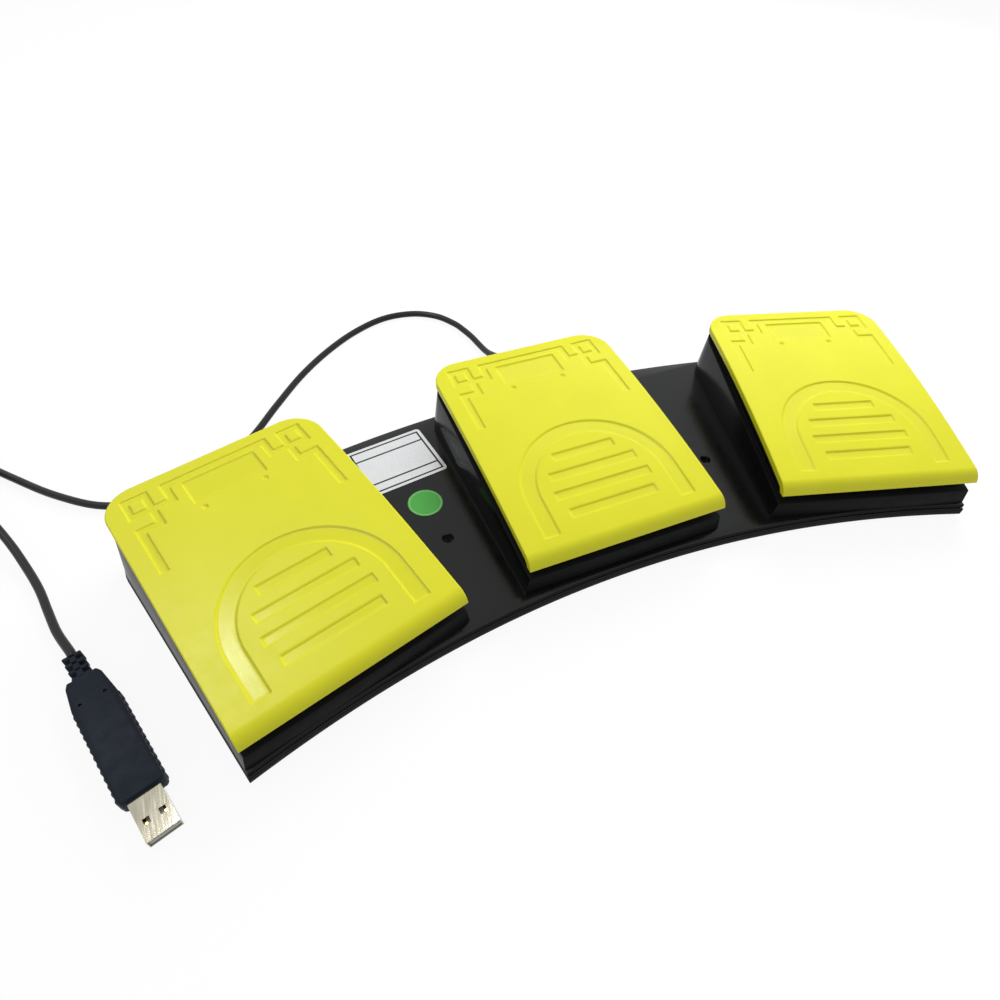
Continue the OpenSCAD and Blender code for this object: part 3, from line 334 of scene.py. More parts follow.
def label_material():
    """Satin silver foil with a ruled frame and two ruled rows."""
    material = metal("label_foil", (0.8, 0.81, 0.82), 0.22, 0.32, 700.0, 0.03, 0.93, 0.7)
    tree = material.node_tree
    middle, turn = at_gap_place(-1, LABEL_BACK)
    place = add(tree, "ShaderNodeTexCoord").outputs["Object"]
    flat = add(tree, "ShaderNodeMapping", {
        "Vector": place, "Location": middle * MM, "Rotation": (0, 0, turn)}, vector_type="TEXTURE")
    x, y, _ = add(tree, "ShaderNodeSeparateXYZ", {0: flat.outputs[0]}).outputs
    out_x = figure(tree, "SUBTRACT", away_from(tree, x, 0), (LABEL_W / 2 - LABEL_FRAME) * MM)
    out_y = figure(tree, "SUBTRACT", away_from(tree, y, 0), (LABEL_L / 2 - LABEL_FRAME) * MM)
    outside = figure(tree, "MAXIMUM", out_x, out_y)
    near = away_from(tree, outside, 0)
    for row in LABEL_ROWS:
        near = figure(tree, "MINIMUM", near, figure(tree, "MAXIMUM", away_from(tree, y, row), outside))
    lay_over(material, "Base Color", drawn_line(tree, near, LABEL_LINE), LABEL_INK)
    return material


# The sticker is plain but for a pale ring near its edge
STICKER_BACK = 72
STICKER_RING_R = 7.75
STICKER_RING_W = 0.55
STICKER_PALE = (0.34, 0.72, 0.3, 1.0)


def sticker_material():
    """Printed green film with a pale ring."""
    material = plastic("sticker_green", (0.11, 0.58, 0.095), 0.3, 0.4, 900.0, 0.05, 0.9, 0.3)
    tree = material.node_tree
    middle, _ = at_gap_place(-1, STICKER_BACK)
    place = add(tree, "ShaderNodeTexCoord").outputs["Object"]
    radius = add(tree, "ShaderNodeVectorMath", {0: place, 1: middle * MM}, operation="DISTANCE")
    away = away_from(tree, radius.outputs["Value"], STICKER_RING_R)
    lay_over(material, "Base Color", drawn_line(tree, away, STICKER_RING_W), STICKER_PALE)
    return material


# The base is glossy on top and at the rear, and its upright faces are duller the more they are turned
# to the user: the bounds are parts of a face's outward direction along Y and Z
GLOSS_TURN = -0.12
MATT_TURN = -0.45
GLOSS_TILT = 0.7
MATT_TILT = 0.5
MATT_COLOUR = (0.011, 0.0115, 0.0115)
MATT_ROUGHNESS = 0.55
LEDGE_TILT = 0.3


def base_material():
    """Black moulding whose finish follows the way its faces are turned."""
    material = plastic("base_black", (0.006, 0.007, 0.0068), 0.15, 0.22, 1300.0, 0.03, specular=0.28)
    tree = material.node_tree
    way = add(tree, "ShaderNodeNewGeometry").outputs["Normal"]
    _, y, z = add(tree, "ShaderNodeSeparateXYZ", {0: way}).outputs
    turned = ramp(tree, y, GLOSS_TURN, MATT_TURN)
    upright = ramp(tree, figure(tree, "ABSOLUTE", z), GLOSS_TILT, MATT_TILT)
    matt = figure(tree, "MULTIPLY", turned, upright)
    lay_over(material, "Roughness", matt, MATT_ROUGHNESS)
    lay_over(material, "Base Color", matt, shade(MATT_COLOUR, 1.0))
    return material


YELLOW = tread_material()
BASE_BLACK = base_material()
BASE_MATT = plastic("base_matt", MATT_COLOUR, 0.5, 0.6, 1300.0, 0.06, specular=0.05)
INNER_BLACK = plastic("inner_black", (0.016, 0.016, 0.017), 0.4, 0.5, 900.0, 0.1)
RUBBER = plastic("foot_rubber", (0.02, 0.02, 0.02), 0.65, 0.8, 1100.0, 0.3)
CORD_BLACK = plastic("cord_sheath", (0.009, 0.009, 0.01), 0.34, 0.46, 1500.0, 0.08, specular=0.3)
GRIP_BLACK = plastic("grip_moulding", (0.0095, 0.016, 0.028), 0.5, 0.6, 1900.0, 0.3, specular=0.13)
STEEL = metal("zinc_plate", (0.58, 0.59, 0.61))
NICKEL = metal("plug_nickel", (0.4, 0.375, 0.298), 0.08, 0.12, 1200.0, 0.05, 0.9)
GOLD = metal("contact_gold", (0.83, 0.6, 0.2), 0.18, 0.28)
MAROON = plastic("switch_moulding", (0.05, 0.022, 0.02), 0.4, 0.5, 1200.0, 0.12)
RED = plastic("button_red", (0.5, 0.05, 0.04), 0.3, 0.4)
GREEN = plastic("board_lacquer", (0.02, 0.16, 0.06), 0.25, 0.35, 600.0, 0.15, 0.7)
GREY = plastic("lead_sheath", (0.22, 0.22, 0.23), 0.45, 0.55)
WHITE = plastic("tongue_white", (0.72, 0.72, 0.7), 0.35, 0.45)
STICKER = sticker_material()
FOIL = label_material()


# Drawing of meshes

class Shell:
    """Points, in millimetres, and faces of one piece while it is drawn."""

    def __init__(self):
        self.points = []
        self.faces = []

    def ring(self, points):
        """Adds points and returns their numbers."""
        first = len(self.points)
        self.points.extend(tuple(float(x) for x in p) for p in points)
        return list(range(first, len(self.points)))

    def skin(self, rings):
        """Walls from each closed ring to the next."""
        for a, b in zip(rings, rings[1:]):
            for i in range(len(a)):
                j = (i + 1) % len(a)
                self.faces.append((a[i], a[j], b[j], b[i]))

    def cap(self, outer, holes=()):
        """A flat face inside a ring, with holes."""
        loops = [outer, *holes]
        numbers = [i for loop in loops for i in loop]
        flat = [[Vector(self.points[i]) for i in loop] for loop in loops]
        for corners in tessellate_polygon(flat):
            self.faces.append(tuple(numbers[k] for k in corners))

    def slab(self, outline, levels, low_holes=(), high_holes=()):
        """A solid whose outline is drawn in by each level's first number, at the height in its second."""
        rings = [self.ring([(x, y, z) for x, y in outline(inset)]) for inset, z in levels]
        self.skin(rings)
        self.cap(rings[0], low_holes)
        self.cap(rings[-1], high_holes)

    def lathe(self, profile, sides=40, at=(0, 0, 0), turn=None):
        """A closed solid turned about Z from radius and height pairs that start and end at radius 0."""
        rings = []
        for r, z in profile[1:-1]:
            circle = [Vector((*p, z)) for p in round_loop((0, 0), r, sides)]
            rings.append(self.ring(self.put(circle, at, turn)))
        self.skin(rings)
        for ring, (_, z) in ((rings[0], profile[0]), (rings[-1], profile[-1])):
            tip = self.ring(self.put([Vector((0, 0, z))], at, turn))[0]
            for i in range(sides):
                self.faces.append((ring[i], ring[(i + 1) % sides], tip))

    def put(self, points, at, turn):
        """Points turned and moved to their place."""
        return [(turn @ p if turn else p) + Vector(at) for p in points]

    def block(self, low, high):
        """A plain block between two corners."""
        (x0, y0, z0), (x1, y1, z1) = low, high
        self.slab(lambda inset: [(x0, y0), (x1, y0), (x1, y1), (x0, y1)], [(0, z0), (0, z1)])

    def hole(self, circle, levels):
        """Rings of a round hole at a middle, one for each radius and height, and the walls between them."""
        rings = [self.ring([(*p, z) for p in round_loop(circle, r)]) for r, z in levels]
        self.skin(rings)
        return rings

    def join(self, points, faces):
        """Takes in another shape's points and faces."""
        first = len(self.points)
        self.ring(points)
        self.faces.extend(tuple(first + k for k in face) for face in faces)

    def join_mesh(self, mesh):
        """Takes in a mesh, which is in metres, and deletes it."""
        self.join([v.co / MM for v in mesh.vertices], [p.vertices for p in mesh.polygons])
        bpy.data.meshes.remove(mesh)


def round_loop(middle, r, sides=40):
    """Points of a circle."""
    angles = np.linspace(0, math.tau, sides, False)
    return [(middle[0] + r * math.cos(a), middle[1] + r * math.sin(a)) for a in angles]


def arc(middle, r, start, end, steps):
    """Points of an arc between two angles in degrees, ends included."""
    return [(middle[0] + r * math.cos(a), middle[1] + r * math.sin(a))
            for a in np.radians(np.linspace(start, end, steps + 1))]


LEAST_ROUND = 0.15


def rounded_polygon(corners, radii, steps=6):
    """A function from inset to the loop of a polygon, run anticlockwise, with rounded corners."""
    def outline(inset):
        """The loop drawn in by inset."""
        loop = []
        for k, corner in enumerate(corners):
            here = Vector(corner)
            before = (here - Vector(corners[k - 1])).normalized()
            after = (Vector(corners[(k + 1) % len(corners)]) - here).normalized()
            left, right = Vector((-before.y, before.x)), Vector((-after.y, after.x))
            spread = 1 + left.dot(right)
            r = max(radii[k] - inset, LEAST_ROUND)
            middle = here + (left + right) * (inset + r) / spread
            first = math.degrees(math.atan2(-left.y, -left.x))
            turn = math.degrees(math.atan2(before.x * after.y - before.y * after.x, before.dot(after)))
            loop.extend(arc(middle, r, first, first + turn, steps))
        return loop
    return outline


def at_pedal(points, side):
    """Points of a pedal's own plan, put where that pedal is: side -1 left, 0 middle, 1 right."""
    c, s = math.cos(-side * FAN_TURN), math.sin(-side * FAN_TURN)
    turn = np.array([[c, s, 0], [-s, c, 0], [0, 0, 1]])
    return (np.asarray(points, float) + (0, FAN_R, 0)) @ turn + (0, FAN_Y, 0)


def at_gap(points, side, back):
    """Points drawn about their own middle, put on the deck between two pedals."""
    middle, turn = at_gap_place(side, back)
    return [Matrix.Rotation(turn, 3, "Z") @ Vector(p) + Vector((middle.x, middle.y, 0)) for p in points]


SHARP = math.radians(32)


def outward_mesh(name, shell):
    """A mesh, in metres, of a shell, with its faces turned outward."""
    mesh = bpy.data.meshes.new(name)
    mesh.from_pydata((np.asarray(shell.points) * MM).tolist(), [], shell.faces)
    drawn = bmesh.new()
    drawn.from_mesh(mesh)
    bmesh.ops.recalc_face_normals(drawn, faces=drawn.faces)
    drawn.to_mesh(mesh)
    drawn.free()
    return mesh


def make_piece(name, shell, material, body, replaced):
    """A piece from a shell."""
    return dress(name, outward_mesh(name, shell), material, body, replaced)


def dress(name, mesh, material, body, replaced):
    """A finished mesh's object: smooth but for sharp edges, riding on its body, standing for its nodes."""
    mesh.materials.clear()
    mesh.materials.append(material)
    mesh.shade_smooth()
    mesh.set_sharp_from_angle(angle=SHARP)
    piece = bpy.data.objects.new(name, mesh)
    scene.collection.objects.link(piece)
    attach(piece, body)
    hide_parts(*replaced)
    return piece


# The lead: straight out of the strain relief, round behind the pedals, coiled, then to the plug
GLAND_X = 5
GLAND_FLANGE_D = 10
GLAND_FLANGE_T = 2
GLAND_BOOT_L = 14
GLAND_BOOT_D = 7.2
GLAND_TIP_D = 5
GLAND_NECK_D = 6.8
GLAND_LIFT = 0.3
GLAND_Z = DECK_TOP + GLAND_FLANGE_D / 2 + GLAND_LIFT
GLAND_Y = FAN_Y + FAN_R + BOX_REAR
GLAND_TIP_Y = GLAND_Y + GLAND_FLANGE_T + GLAND_BOOT_L
COIL_CENTRE = (-306, 130)
COIL_OUTER_R = 26
COIL_GAP = 0.5
COIL_PITCH = CORD_D + COIL_GAP
COIL_LAYERS = 4
COIL_TURNS = 10.625
COIL_START = 45
COIL_RINGS = 32
TIE_T = 0.6
TIE_W = 8
TIE_GAP = 0.3
TIE_ANGLE = 165
COIL_LOW = TIE_T + TIE_GAP / 3 + CORD_D / 2
TURNS_EACH = COIL_TURNS / COIL_LAYERS
COIL_INNER_R = COIL_OUTER_R - TURNS_EACH * COIL_PITCH
PLUG_AT = (-233.4, -5.6)
PLUG_TURN = math.radians(-71.95)
PLUG_MID = GRIP_H / 2
PLUG_WAY = np.array([math.cos(PLUG_TURN), math.sin(PLUG_TURN), 0])
CORD_STEPS = 6
CORD_ROUND = 5

# Where the lead lies between its sleeves and the coil
ROUTE_TO_COIL = (
    (4.8, 107, 12), (4.4, 112, 9.6), (3.8, 118, 6.8), (3.1, 124, 4.4), (2.5, 130, 2.9), (1.8, 138, 2.1),
    (0.6, 147, 2), (-1.6, 156, 2), (-4.8, 165, 2), (-13, 177, 2), (-27, 185, 2), (-46, 186, 2),
    (-67, 178, 2), (-88, 164, 2), (-108, 146, 2), (-127, 124, 2), (-146, 101, 2),
    (-168, 84, 2), (-193, 75, 2), (-218, 79, 2), (-240, 95, 2), (-260, 116, 2), (-274, 132, 2.3))
ROUTE_TO_PLUG = (
    (-281, 98, 13.4), (-268, 86, 9.4), (-259, 69, 5.4), (-252.5, 53, 3), (-247.2, 38, 2.1),
    (-243.6, 24, 2.1), (-239.8, 10.6, 3))


def coil_point(s):
    """A point of the coil, s turns from its start: in and out by turns, one layer up at each change."""
    part = s % (2 * TURNS_EACH)
    r = COIL_OUTER_R - COIL_PITCH * (part if part <= TURNS_EACH else 2 * TURNS_EACH - part)
    change = round(s / TURNS_EACH)
    layer = change - 0.5 + max(-0.5, min(0.5, 2 * (s - change * TURNS_EACH)))
    layer = min(max(layer, 0), COIL_LAYERS - 1)
    a = math.radians(COIL_START + 360 * s)
    return (COIL_CENTRE[0] + r * math.cos(a), COIL_CENTRE[1] + r * math.sin(a), COIL_LOW + COIL_PITCH * layer)


def coil_way(s):
    """Direction of the coil, s turns from its start."""
    a = math.radians(COIL_START + 360 * s)
    return np.array([-math.sin(a), math.cos(a), 0])


def smooth(points):
    """A smooth curve through given points."""
    p = np.asarray(points, float)
    ends = np.vstack([p[:1], p, p[-1:]])
    curve = []
    for a, b, c, d in zip(ends, ends[1:], ends[2:], ends[3:]):
        for t in np.arange(CORD_STEPS) / CORD_STEPS:
            bend = (2 * a - 5 * b + 4 * c - d) * t ** 2 + (3 * b - a - 3 * c + d) * t ** 3
            curve.append((2 * b + (c - a) * t + bend) / 2)
    return curve + [p[-1]]


def cord_path():
    """The middle line of the whole lead."""
    turns = np.linspace(0, COIL_TURNS, round(COIL_TURNS * COIL_RINGS) + 1)
    coil = [np.array(coil_point(s)) for s in turns]
    way_in, way_out = CORD_D * coil_way(0), CORD_D * coil_way(COIL_TURNS)
    coil_in, coil_out = coil[0] - way_in, coil[-1] + way_out
    plug_in = np.array([*PLUG_AT, PLUG_MID])
    to_coil = [(GLAND_X, GLAND_TIP_Y, GLAND_Z), (GLAND_X, GLAND_TIP_Y + CORD_D, GLAND_Z), *ROUTE_TO_COIL,
               coil_in - 2 * way_in, coil_in]
    to_plug = [coil_out, coil_out + 2 * way_out, *ROUTE_TO_PLUG, plug_in - CORD_D * PLUG_WAY, plug_in]
    return np.array(smooth(to_coil) + coil + smooth(to_plug))


def make_cord():
    """The lead as one round curve."""
    path = cord_path() * MM
    line = bpy.data.curves.new("cord", "CURVE")
    line.dimensions = "3D"
    line.bevel_depth = CORD_D / 2 * MM
    line.bevel_resolution = CORD_ROUND
    line.use_fill_caps = True
    spline = line.splines.new("POLY")
    spline.points.add(len(path) - 1)
    for point, at in zip(spline.points, path):
        point.co = (*at, 1.0)
    spline.use_smooth = True
    line.materials.append(CORD_BLACK)
    cord = bpy.data.objects.new("cord", line)
    scene.collection.objects.link(cord)
    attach(cord, "base")
    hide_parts("cord_from_pedal", "cord_coil", "cord_to_plug")
    length = float(np.linalg.norm(np.diff(path, axis=0), axis=1).sum())
    return cord, path[0], length


# Treads

SUNK_DEPTH = 0.65
SUNK_SOFT = 0.36
EDGE_R = 0.6
EDGE_CLEAR = 1.5
LIP_R = 0.35
POLISH_IN = 0.8
GRID_STEP = 0.45
ROLL_STEPS = 18
CORNER_STEPS = 44
EDGE_STEPS = (0, 0.02, 0.06, 0.13, 0.23, 0.35, 0.47)
LIP_STEPS = 4
SOFT_START = 14
STUD_D = 5
STUD_PLACES = ((-30, 20), (30, 20), (-30, 98), (30, 98))
STUD_END = 7.3
STUD_EDGE = 0.3
STUD_SINK = 1
STUD_SIDES = 24

# Sunk decoration: arch, panel, dots, tread bars and the right half of the stepped corner lines
ARCH_OUTER = 38.5
ARCH_INNER = 31.1
ARCH_FOOT = 10.3
ARCH_SPRING = 29.5
PANEL = ((-16.7, 104.5), (16.7, 118.8))
DOT_U = 13.9
DOT_V = 100.5
DOT_R = 1.1
BAR_W = 4.6
BAR_ROWS = ((16, 22), (26.5, 24.5), (37, 22.5), (47.5, 16))
FRET_STRETCHES = (
    ((-24.9, 120.1), (24.9, 123.8)),
    ((21.4, 110.8), (24.9, 123.8)),
    ((21.4, 110.8), (41.9, 114.4)),
    ((39, 110.8), (41.9, 123.8)),
    ((30.3, 120.4), (41.9, 123.8)),
    ((30.3, 101.4), (33.6, 123.8)),
    ((30.3, 101.4), (42.1, 105)),
    ((38.5, 78.5), (42.1, 105)))


def from_rectangle(u, v, low, high):
    """Distance outside a rectangle, less than 0 inside."""
    out_u = np.abs(u - (low[0] + high[0]) / 2) - (high[0] - low[0]) / 2
    out_v = np.abs(v - (low[1] + high[1]) / 2) - (high[1] - low[1]) / 2
    outside = np.hypot(np.maximum(out_u, 0), np.maximum(out_v, 0))
    return outside + np.minimum(np.maximum(out_u, out_v), 0)


def from_arch(u, v, r):
    """Distance outside a round arch with straight legs."""
    return np.where(v > ARCH_SPRING, np.hypot(u, v - ARCH_SPRING), np.abs(u)) - r


def from_decoration(u, v):
    """Distance outside the sunk decoration."""
    band = np.maximum(from_arch(u, v, ARCH_OUTER), -from_arch(u, v, ARCH_INNER))
    away = np.maximum(band, ARCH_FOOT - v)
    away = np.minimum(away, from_rectangle(u, v, *PANEL))
    away = np.minimum(away, np.hypot(np.abs(u) - DOT_U, v - DOT_V) - DOT_R)
    for row, half in BAR_ROWS:
        away = np.minimum(away, from_rectangle(u, v, (-half, row), (half, row + BAR_W)))
    for low, high in FRET_STRETCHES:
        away = np.minimum(away, from_rectangle(np.abs(u), v, low, high))
    return away


ROLL_LOW = math.asin((LIP_Z - ROLL_Z) / ROLL_R)
JOIN_SIN = (CROWN_V - ROLL_R) / (CROWN_R - ROLL_R)
ROLL_HIGH = math.acos(JOIN_SIN)
ROLL_LENGTH = ROLL_R * (ROLL_HIGH - ROLL_LOW)
TREAD_LENGTH = ROLL_LENGTH + CROWN_R * (math.asin(JOIN_SIN) + math.asin(CROWN_BACK / CROWN_R))


def tread_profile(along):
    """Side view of the tread: place and outward direction at distances along it from the lip's edge."""
    roll = ROLL_LOW + along / ROLL_R
    crown = math.asin(JOIN_SIN) - (along - ROLL_LENGTH) / CROWN_R
    on_roll = along < ROLL_LENGTH
    out_v = np.where(on_roll, -np.cos(roll), -np.sin(crown))
    out_z = np.where(on_roll, np.sin(roll), np.cos(crown))
    v = np.where(on_roll, ROLL_R + ROLL_R * out_v, CROWN_V + CROWN_R * out_v)
    z = np.where(on_roll, ROLL_Z + ROLL_R * out_z, CROWN_Z + CROWN_R * out_z)
    return v, z, out_v, out_z


def tread_rows():
    """Distances along the tread at which its rows of points lie, and the half width there."""
    corner = np.radians(np.linspace(0, 90, CORNER_STEPS + 1))
    rear = TREAD_LENGTH - TREAD_CORNER_R
    front = np.radians(np.linspace(90, 0, LIP_STEPS + 1))
    roll = np.linspace(LIP_R, ROLL_LENGTH, ROLL_STEPS + 1)[1:]
    crown = np.linspace(ROLL_LENGTH, rear, round((rear - ROLL_LENGTH) / GRID_STEP) + 1)[1:-1]
    along = np.concatenate([LIP_R * (1 - np.sin(front)), roll, crown, rear + TREAD_CORNER_R * np.sin(corner)])
    half = np.full(len(along), TREAD_W / 2.0)
    half[:len(front)] -= LIP_R * (1 - np.cos(front))
    half[-len(corner):] -= TREAD_CORNER_R * (1 - np.cos(corner))
    return along, half


def ease(part):
    """A part from 0 to 1, with a soft start and end."""
    return part * part * (3 - 2 * part)


def edge_drop(u, along):
    """How far the rounded edges lie below the tread: soft at the sides and rear, thin at the lip."""
    half, reach, r = TREAD_W / 2, TREAD_LENGTH - along, TREAD_CORNER_R
    past_u, past_end = np.abs(u) - (half - r), r - reach
    inside = np.where((past_u > 0) & (past_end > 0), r - np.hypot(past_u, past_end),
                      np.minimum(half - np.abs(u), reach))
    edge = LIP_R + (EDGE_R - LIP_R) * ease(np.clip(along / SOFT_START, 0, 1))
    past = np.clip(edge - inside, 0, edge)
    lip = np.clip(LIP_R - along, 0, LIP_R) + 0 * u
    return np.maximum(edge - np.sqrt(edge ** 2 - past ** 2), LIP_R - np.sqrt(LIP_R ** 2 - lip ** 2))


def tread_mesh(side):
    """The tread: grained crowned top with its sunk lines, rolled lip, rounded edges, underside and studs."""
    along, half = tread_rows()
    even = np.linspace(0, 1, round(TREAD_W / 2 / GRID_STEP) + 1)
    even = even[even < 1 - EDGE_CLEAR * EDGE_R / (TREAD_W / 2)]
    right = np.concatenate([even[1:], 1 - np.array(EDGE_STEPS + (EDGE_R,))[::-1] / (TREAD_W / 2)])
    across = np.concatenate([-right[::-1], [0], right])
    u = half[:, None] * across[None, :]
    v, z, out_v, out_z = tread_profile(along)
    away = from_decoration(u, v[:, None])
    sunk = ease(np.clip(0.5 - away / (2 * SUNK_SOFT), 0, 1))
    polish = np.clip((-away - POLISH_IN) / GRID_STEP, 0, 1)
    drop = SUNK_DEPTH * sunk + edge_drop(u, along[:, None])
    top = np.stack([u, v[:, None] - drop * out_v[:, None], z[:, None] - drop * out_z[:, None]], axis=2)
    rows, columns = u.shape
    low_z = np.maximum(z - TREAD_T * out_z, LIP_Z)
    under = np.stack([np.stack([e * half, v - TREAD_T * out_v, low_z], axis=1) for e in (-1, 1)], axis=1)
    shell = Shell()
    number = np.array(shell.ring(at_pedal(top.reshape(-1, 3), side))).reshape(rows, columns)
    below = np.array(shell.ring(at_pedal(under.reshape(-1, 3), side))).reshape(rows, 2)
    a, b = number[:-1, :-1], number[1:, 1:]
    shell.faces = np.stack([a, number[:-1, 1:], b, number[1:, :-1]], axis=2).reshape(-1, 4).tolist()
    for i in range(rows - 1):
        shell.faces.append((number[i, 0], number[i + 1, 0], below[i + 1, 0], below[i, 0]))
        shell.faces.append((number[i, -1], below[i, 1], below[i + 1, 1], number[i + 1, -1]))
        shell.faces.append((below[i, 0], below[i + 1, 0], below[i + 1, 1], below[i, 1]))
    for i in (0, -1):
        shell.faces.append((*number[i], below[i, 1], below[i, 0]))
    shell.faces = [tuple(int(k) for k in face) for face in shell.faces]
    marks = np.zeros(len(shell.points))
    marks[:rows * columns] = polish.reshape(-1)
    studs = Shell()
    r = STUD_D / 2
    for p in STUD_PLACES:
        high = crown_height(p[1], TREAD_T)
        low = high - STUD_END
        studs.lathe([(0, low), (r - STUD_EDGE, low), (r, low + STUD_EDGE), (r, high), (0, high + STUD_SINK)],
                    STUD_SIDES, (*p, 0))
    shell.join(at_pedal(studs.points, side), studs.faces)
    return shell, np.concatenate([marks, np.zeros(len(studs.points))])


def crown_height(v, drop):
    """Height of the crown lowered by drop."""
    return CROWN_Z + math.sqrt((CROWN_R - drop) ** 2 - (v - CROWN_V) ** 2)


def make_tread(word, side):
    """One yellow tread, with the polish of its sunk lines kept for its material."""
    shell, polish = tread_mesh(side)
    piece = make_piece(
        "tread_" + word, shell, YELLOW, f"pedal_{word}_body", ["pedal_" + word])
    marks = piece.data.attributes.new(POLISH, "FLOAT", "POINT")
    marks.data.foreach_set("value", polish.astype(np.float32))
    return piece


# Boxes under the treads

SIDE_STEPS = 12
CORNER_POINTS = 10
BOX_EDGE = 0.5
WALL_FRONT_R = 0.6
LEAST_FRONT_R = 0.6
LEDGE_FILLET = 0.25
UPSTAND_LOW = 0.1
UPSTAND_EDGE = 0.3
OVERLAP = 0.5

# Where the middle point of a rounded edge lies, as a part of the edge's radius
ROUND_MID = 0.3


def front_reach(u, r):
    """Distance from the fan's centre, along an outer pedal's line, of the front arc of radius r."""
    across, along = FRONT_ARC_SHIFT * math.sin(FAN_TURN), FRONT_ARC_SHIFT * math.cos(FAN_TURN)
    return math.sqrt(r ** 2 - (u - across) ** 2) - along


def base_half(v, inset):
    """Half width of the base beside a pedal, drawn in by inset."""
    behind = v + FAN_R - front_reach(BASE_HALF_W, FRONT_ARC_R)
    return BASE_HALF_W - inset + behind * math.tan(SPREAD_TURN)


FOOT_INSET = DECK_INSET + FOOT_STEP
LEAN = (base_half(BOX_FRONT, FOOT_INSET) - BOX_HALF_W) / (LEDGE_FRONT_Z - DECK_TOP)
FOOT_CORNER_R = BASE_CORNER_R - FOOT_INSET


def side_loop(half, front, rear, front_r, rear_r):
    """Plan with rounded corners whose half width depends on the distance behind the lip."""
    low, high = front + front_r, rear - rear_r
    right = arc((half(low) - front_r, low), front_r, -90, 0, CORNER_POINTS)
    right += [(half(v), v) for v in np.linspace(low, high, SIDE_STEPS)[1:-1]]
    right += arc((half(high) - rear_r, high), rear_r, 0, 90, CORNER_POINTS)
    return right + [(-u, v) for u, v in reversed(right)]


def box_loop(inset, front_inset):
    """Plan of a box above its ledge, drawn in by inset, and by front_inset at its front."""
    return side_loop(lambda v: BOX_HALF_W - inset, BOX_FRONT + front_inset, BOX_REAR - inset,
                     max(BOX_FRONT_R - inset, LEAST_FRONT_R), BOX_REAR_R - inset)


def wall_loop(inset, z, rear_r):
    """Plan of a box's outer wall at a height."""
    return side_loop(lambda v: base_half(v, FOOT_INSET + inset) - LEAN * (z - DECK_TOP), BOX_FRONT + inset,
                     BOX_REAR - inset, WALL_FRONT_R, rear_r - inset)


def leaning_ring(inset, height):
    """Ring of the outer wall, wider the lower it lies."""
    wide = wall_loop(inset, DECK_TOP, FOOT_CORNER_R)
    narrow = wall_loop(inset, LEDGE_REAR_Z, BOX_REAR_R)
    ring = []
    for (u, v), (u_top, v_top) in zip(wide, narrow):
        part = (LEDGE_REAR_Z - height(v)) / (LEDGE_REAR_Z - DECK_TOP)
        at = v_top + (v - v_top) * part
        ring.append((u_top + (u - u_top) * part, at, height(at)))
    return ring


def ledge_height(v):
    """Height of the sloped ledge around a box."""
    return LEDGE_FRONT_Z + (LEDGE_REAR_Z - LEDGE_FRONT_Z) * (v - BOX_FRONT) / (BOX_REAR - BOX_FRONT)


def upstand_height(v):
    """Height of the wall above the ledge, clear of a pressed tread."""
    drop = TREAD_T + UPSTAND_GAP
    roll = ROLL_R - drop
    if v < ROLL_R:
        rest = ROLL_Z + math.sqrt(max(roll ** 2 - (v - ROLL_R) ** 2, 0))
    else:
        rest = crown_height(v, drop)
    return rest - max(HINGE_V - v, 0) * PRESS_SIN


CHEEK_U = 33.8
CHEEK_T = 4
CHEEK_LOW = 12
CHEEK_HIGH = 30.6
CHEEK_REACH = 5
CATCH_U = 17
CATCH_W = 8
CATCH_REACH = 3.2
CATCH_T = 2
CATCH_Z = DECK_TOP + 1.9
BOX_SCREW_U = 40.5
BOX_SCREW_V = (27, 96)
BOSS_D = 7
BOSS_RIB_W = 4
BOSS_SIDES = 32
BOX_BOSS_TOP = DECK_TOP + 2.9


def matt_faces(piece, ledges=False):
    """A piece of the base with a matt finish on its fronts, and on its ledges too where it has them."""
    piece.data.materials.append(BASE_MATT)
    for face in piece.data.polygons:
        front = face.normal.y < MATT_TURN and abs(face.normal.z) < MATT_TILT
        face.material_index = int(front or (ledges and face.normal.z > LEDGE_TILT))
    return piece


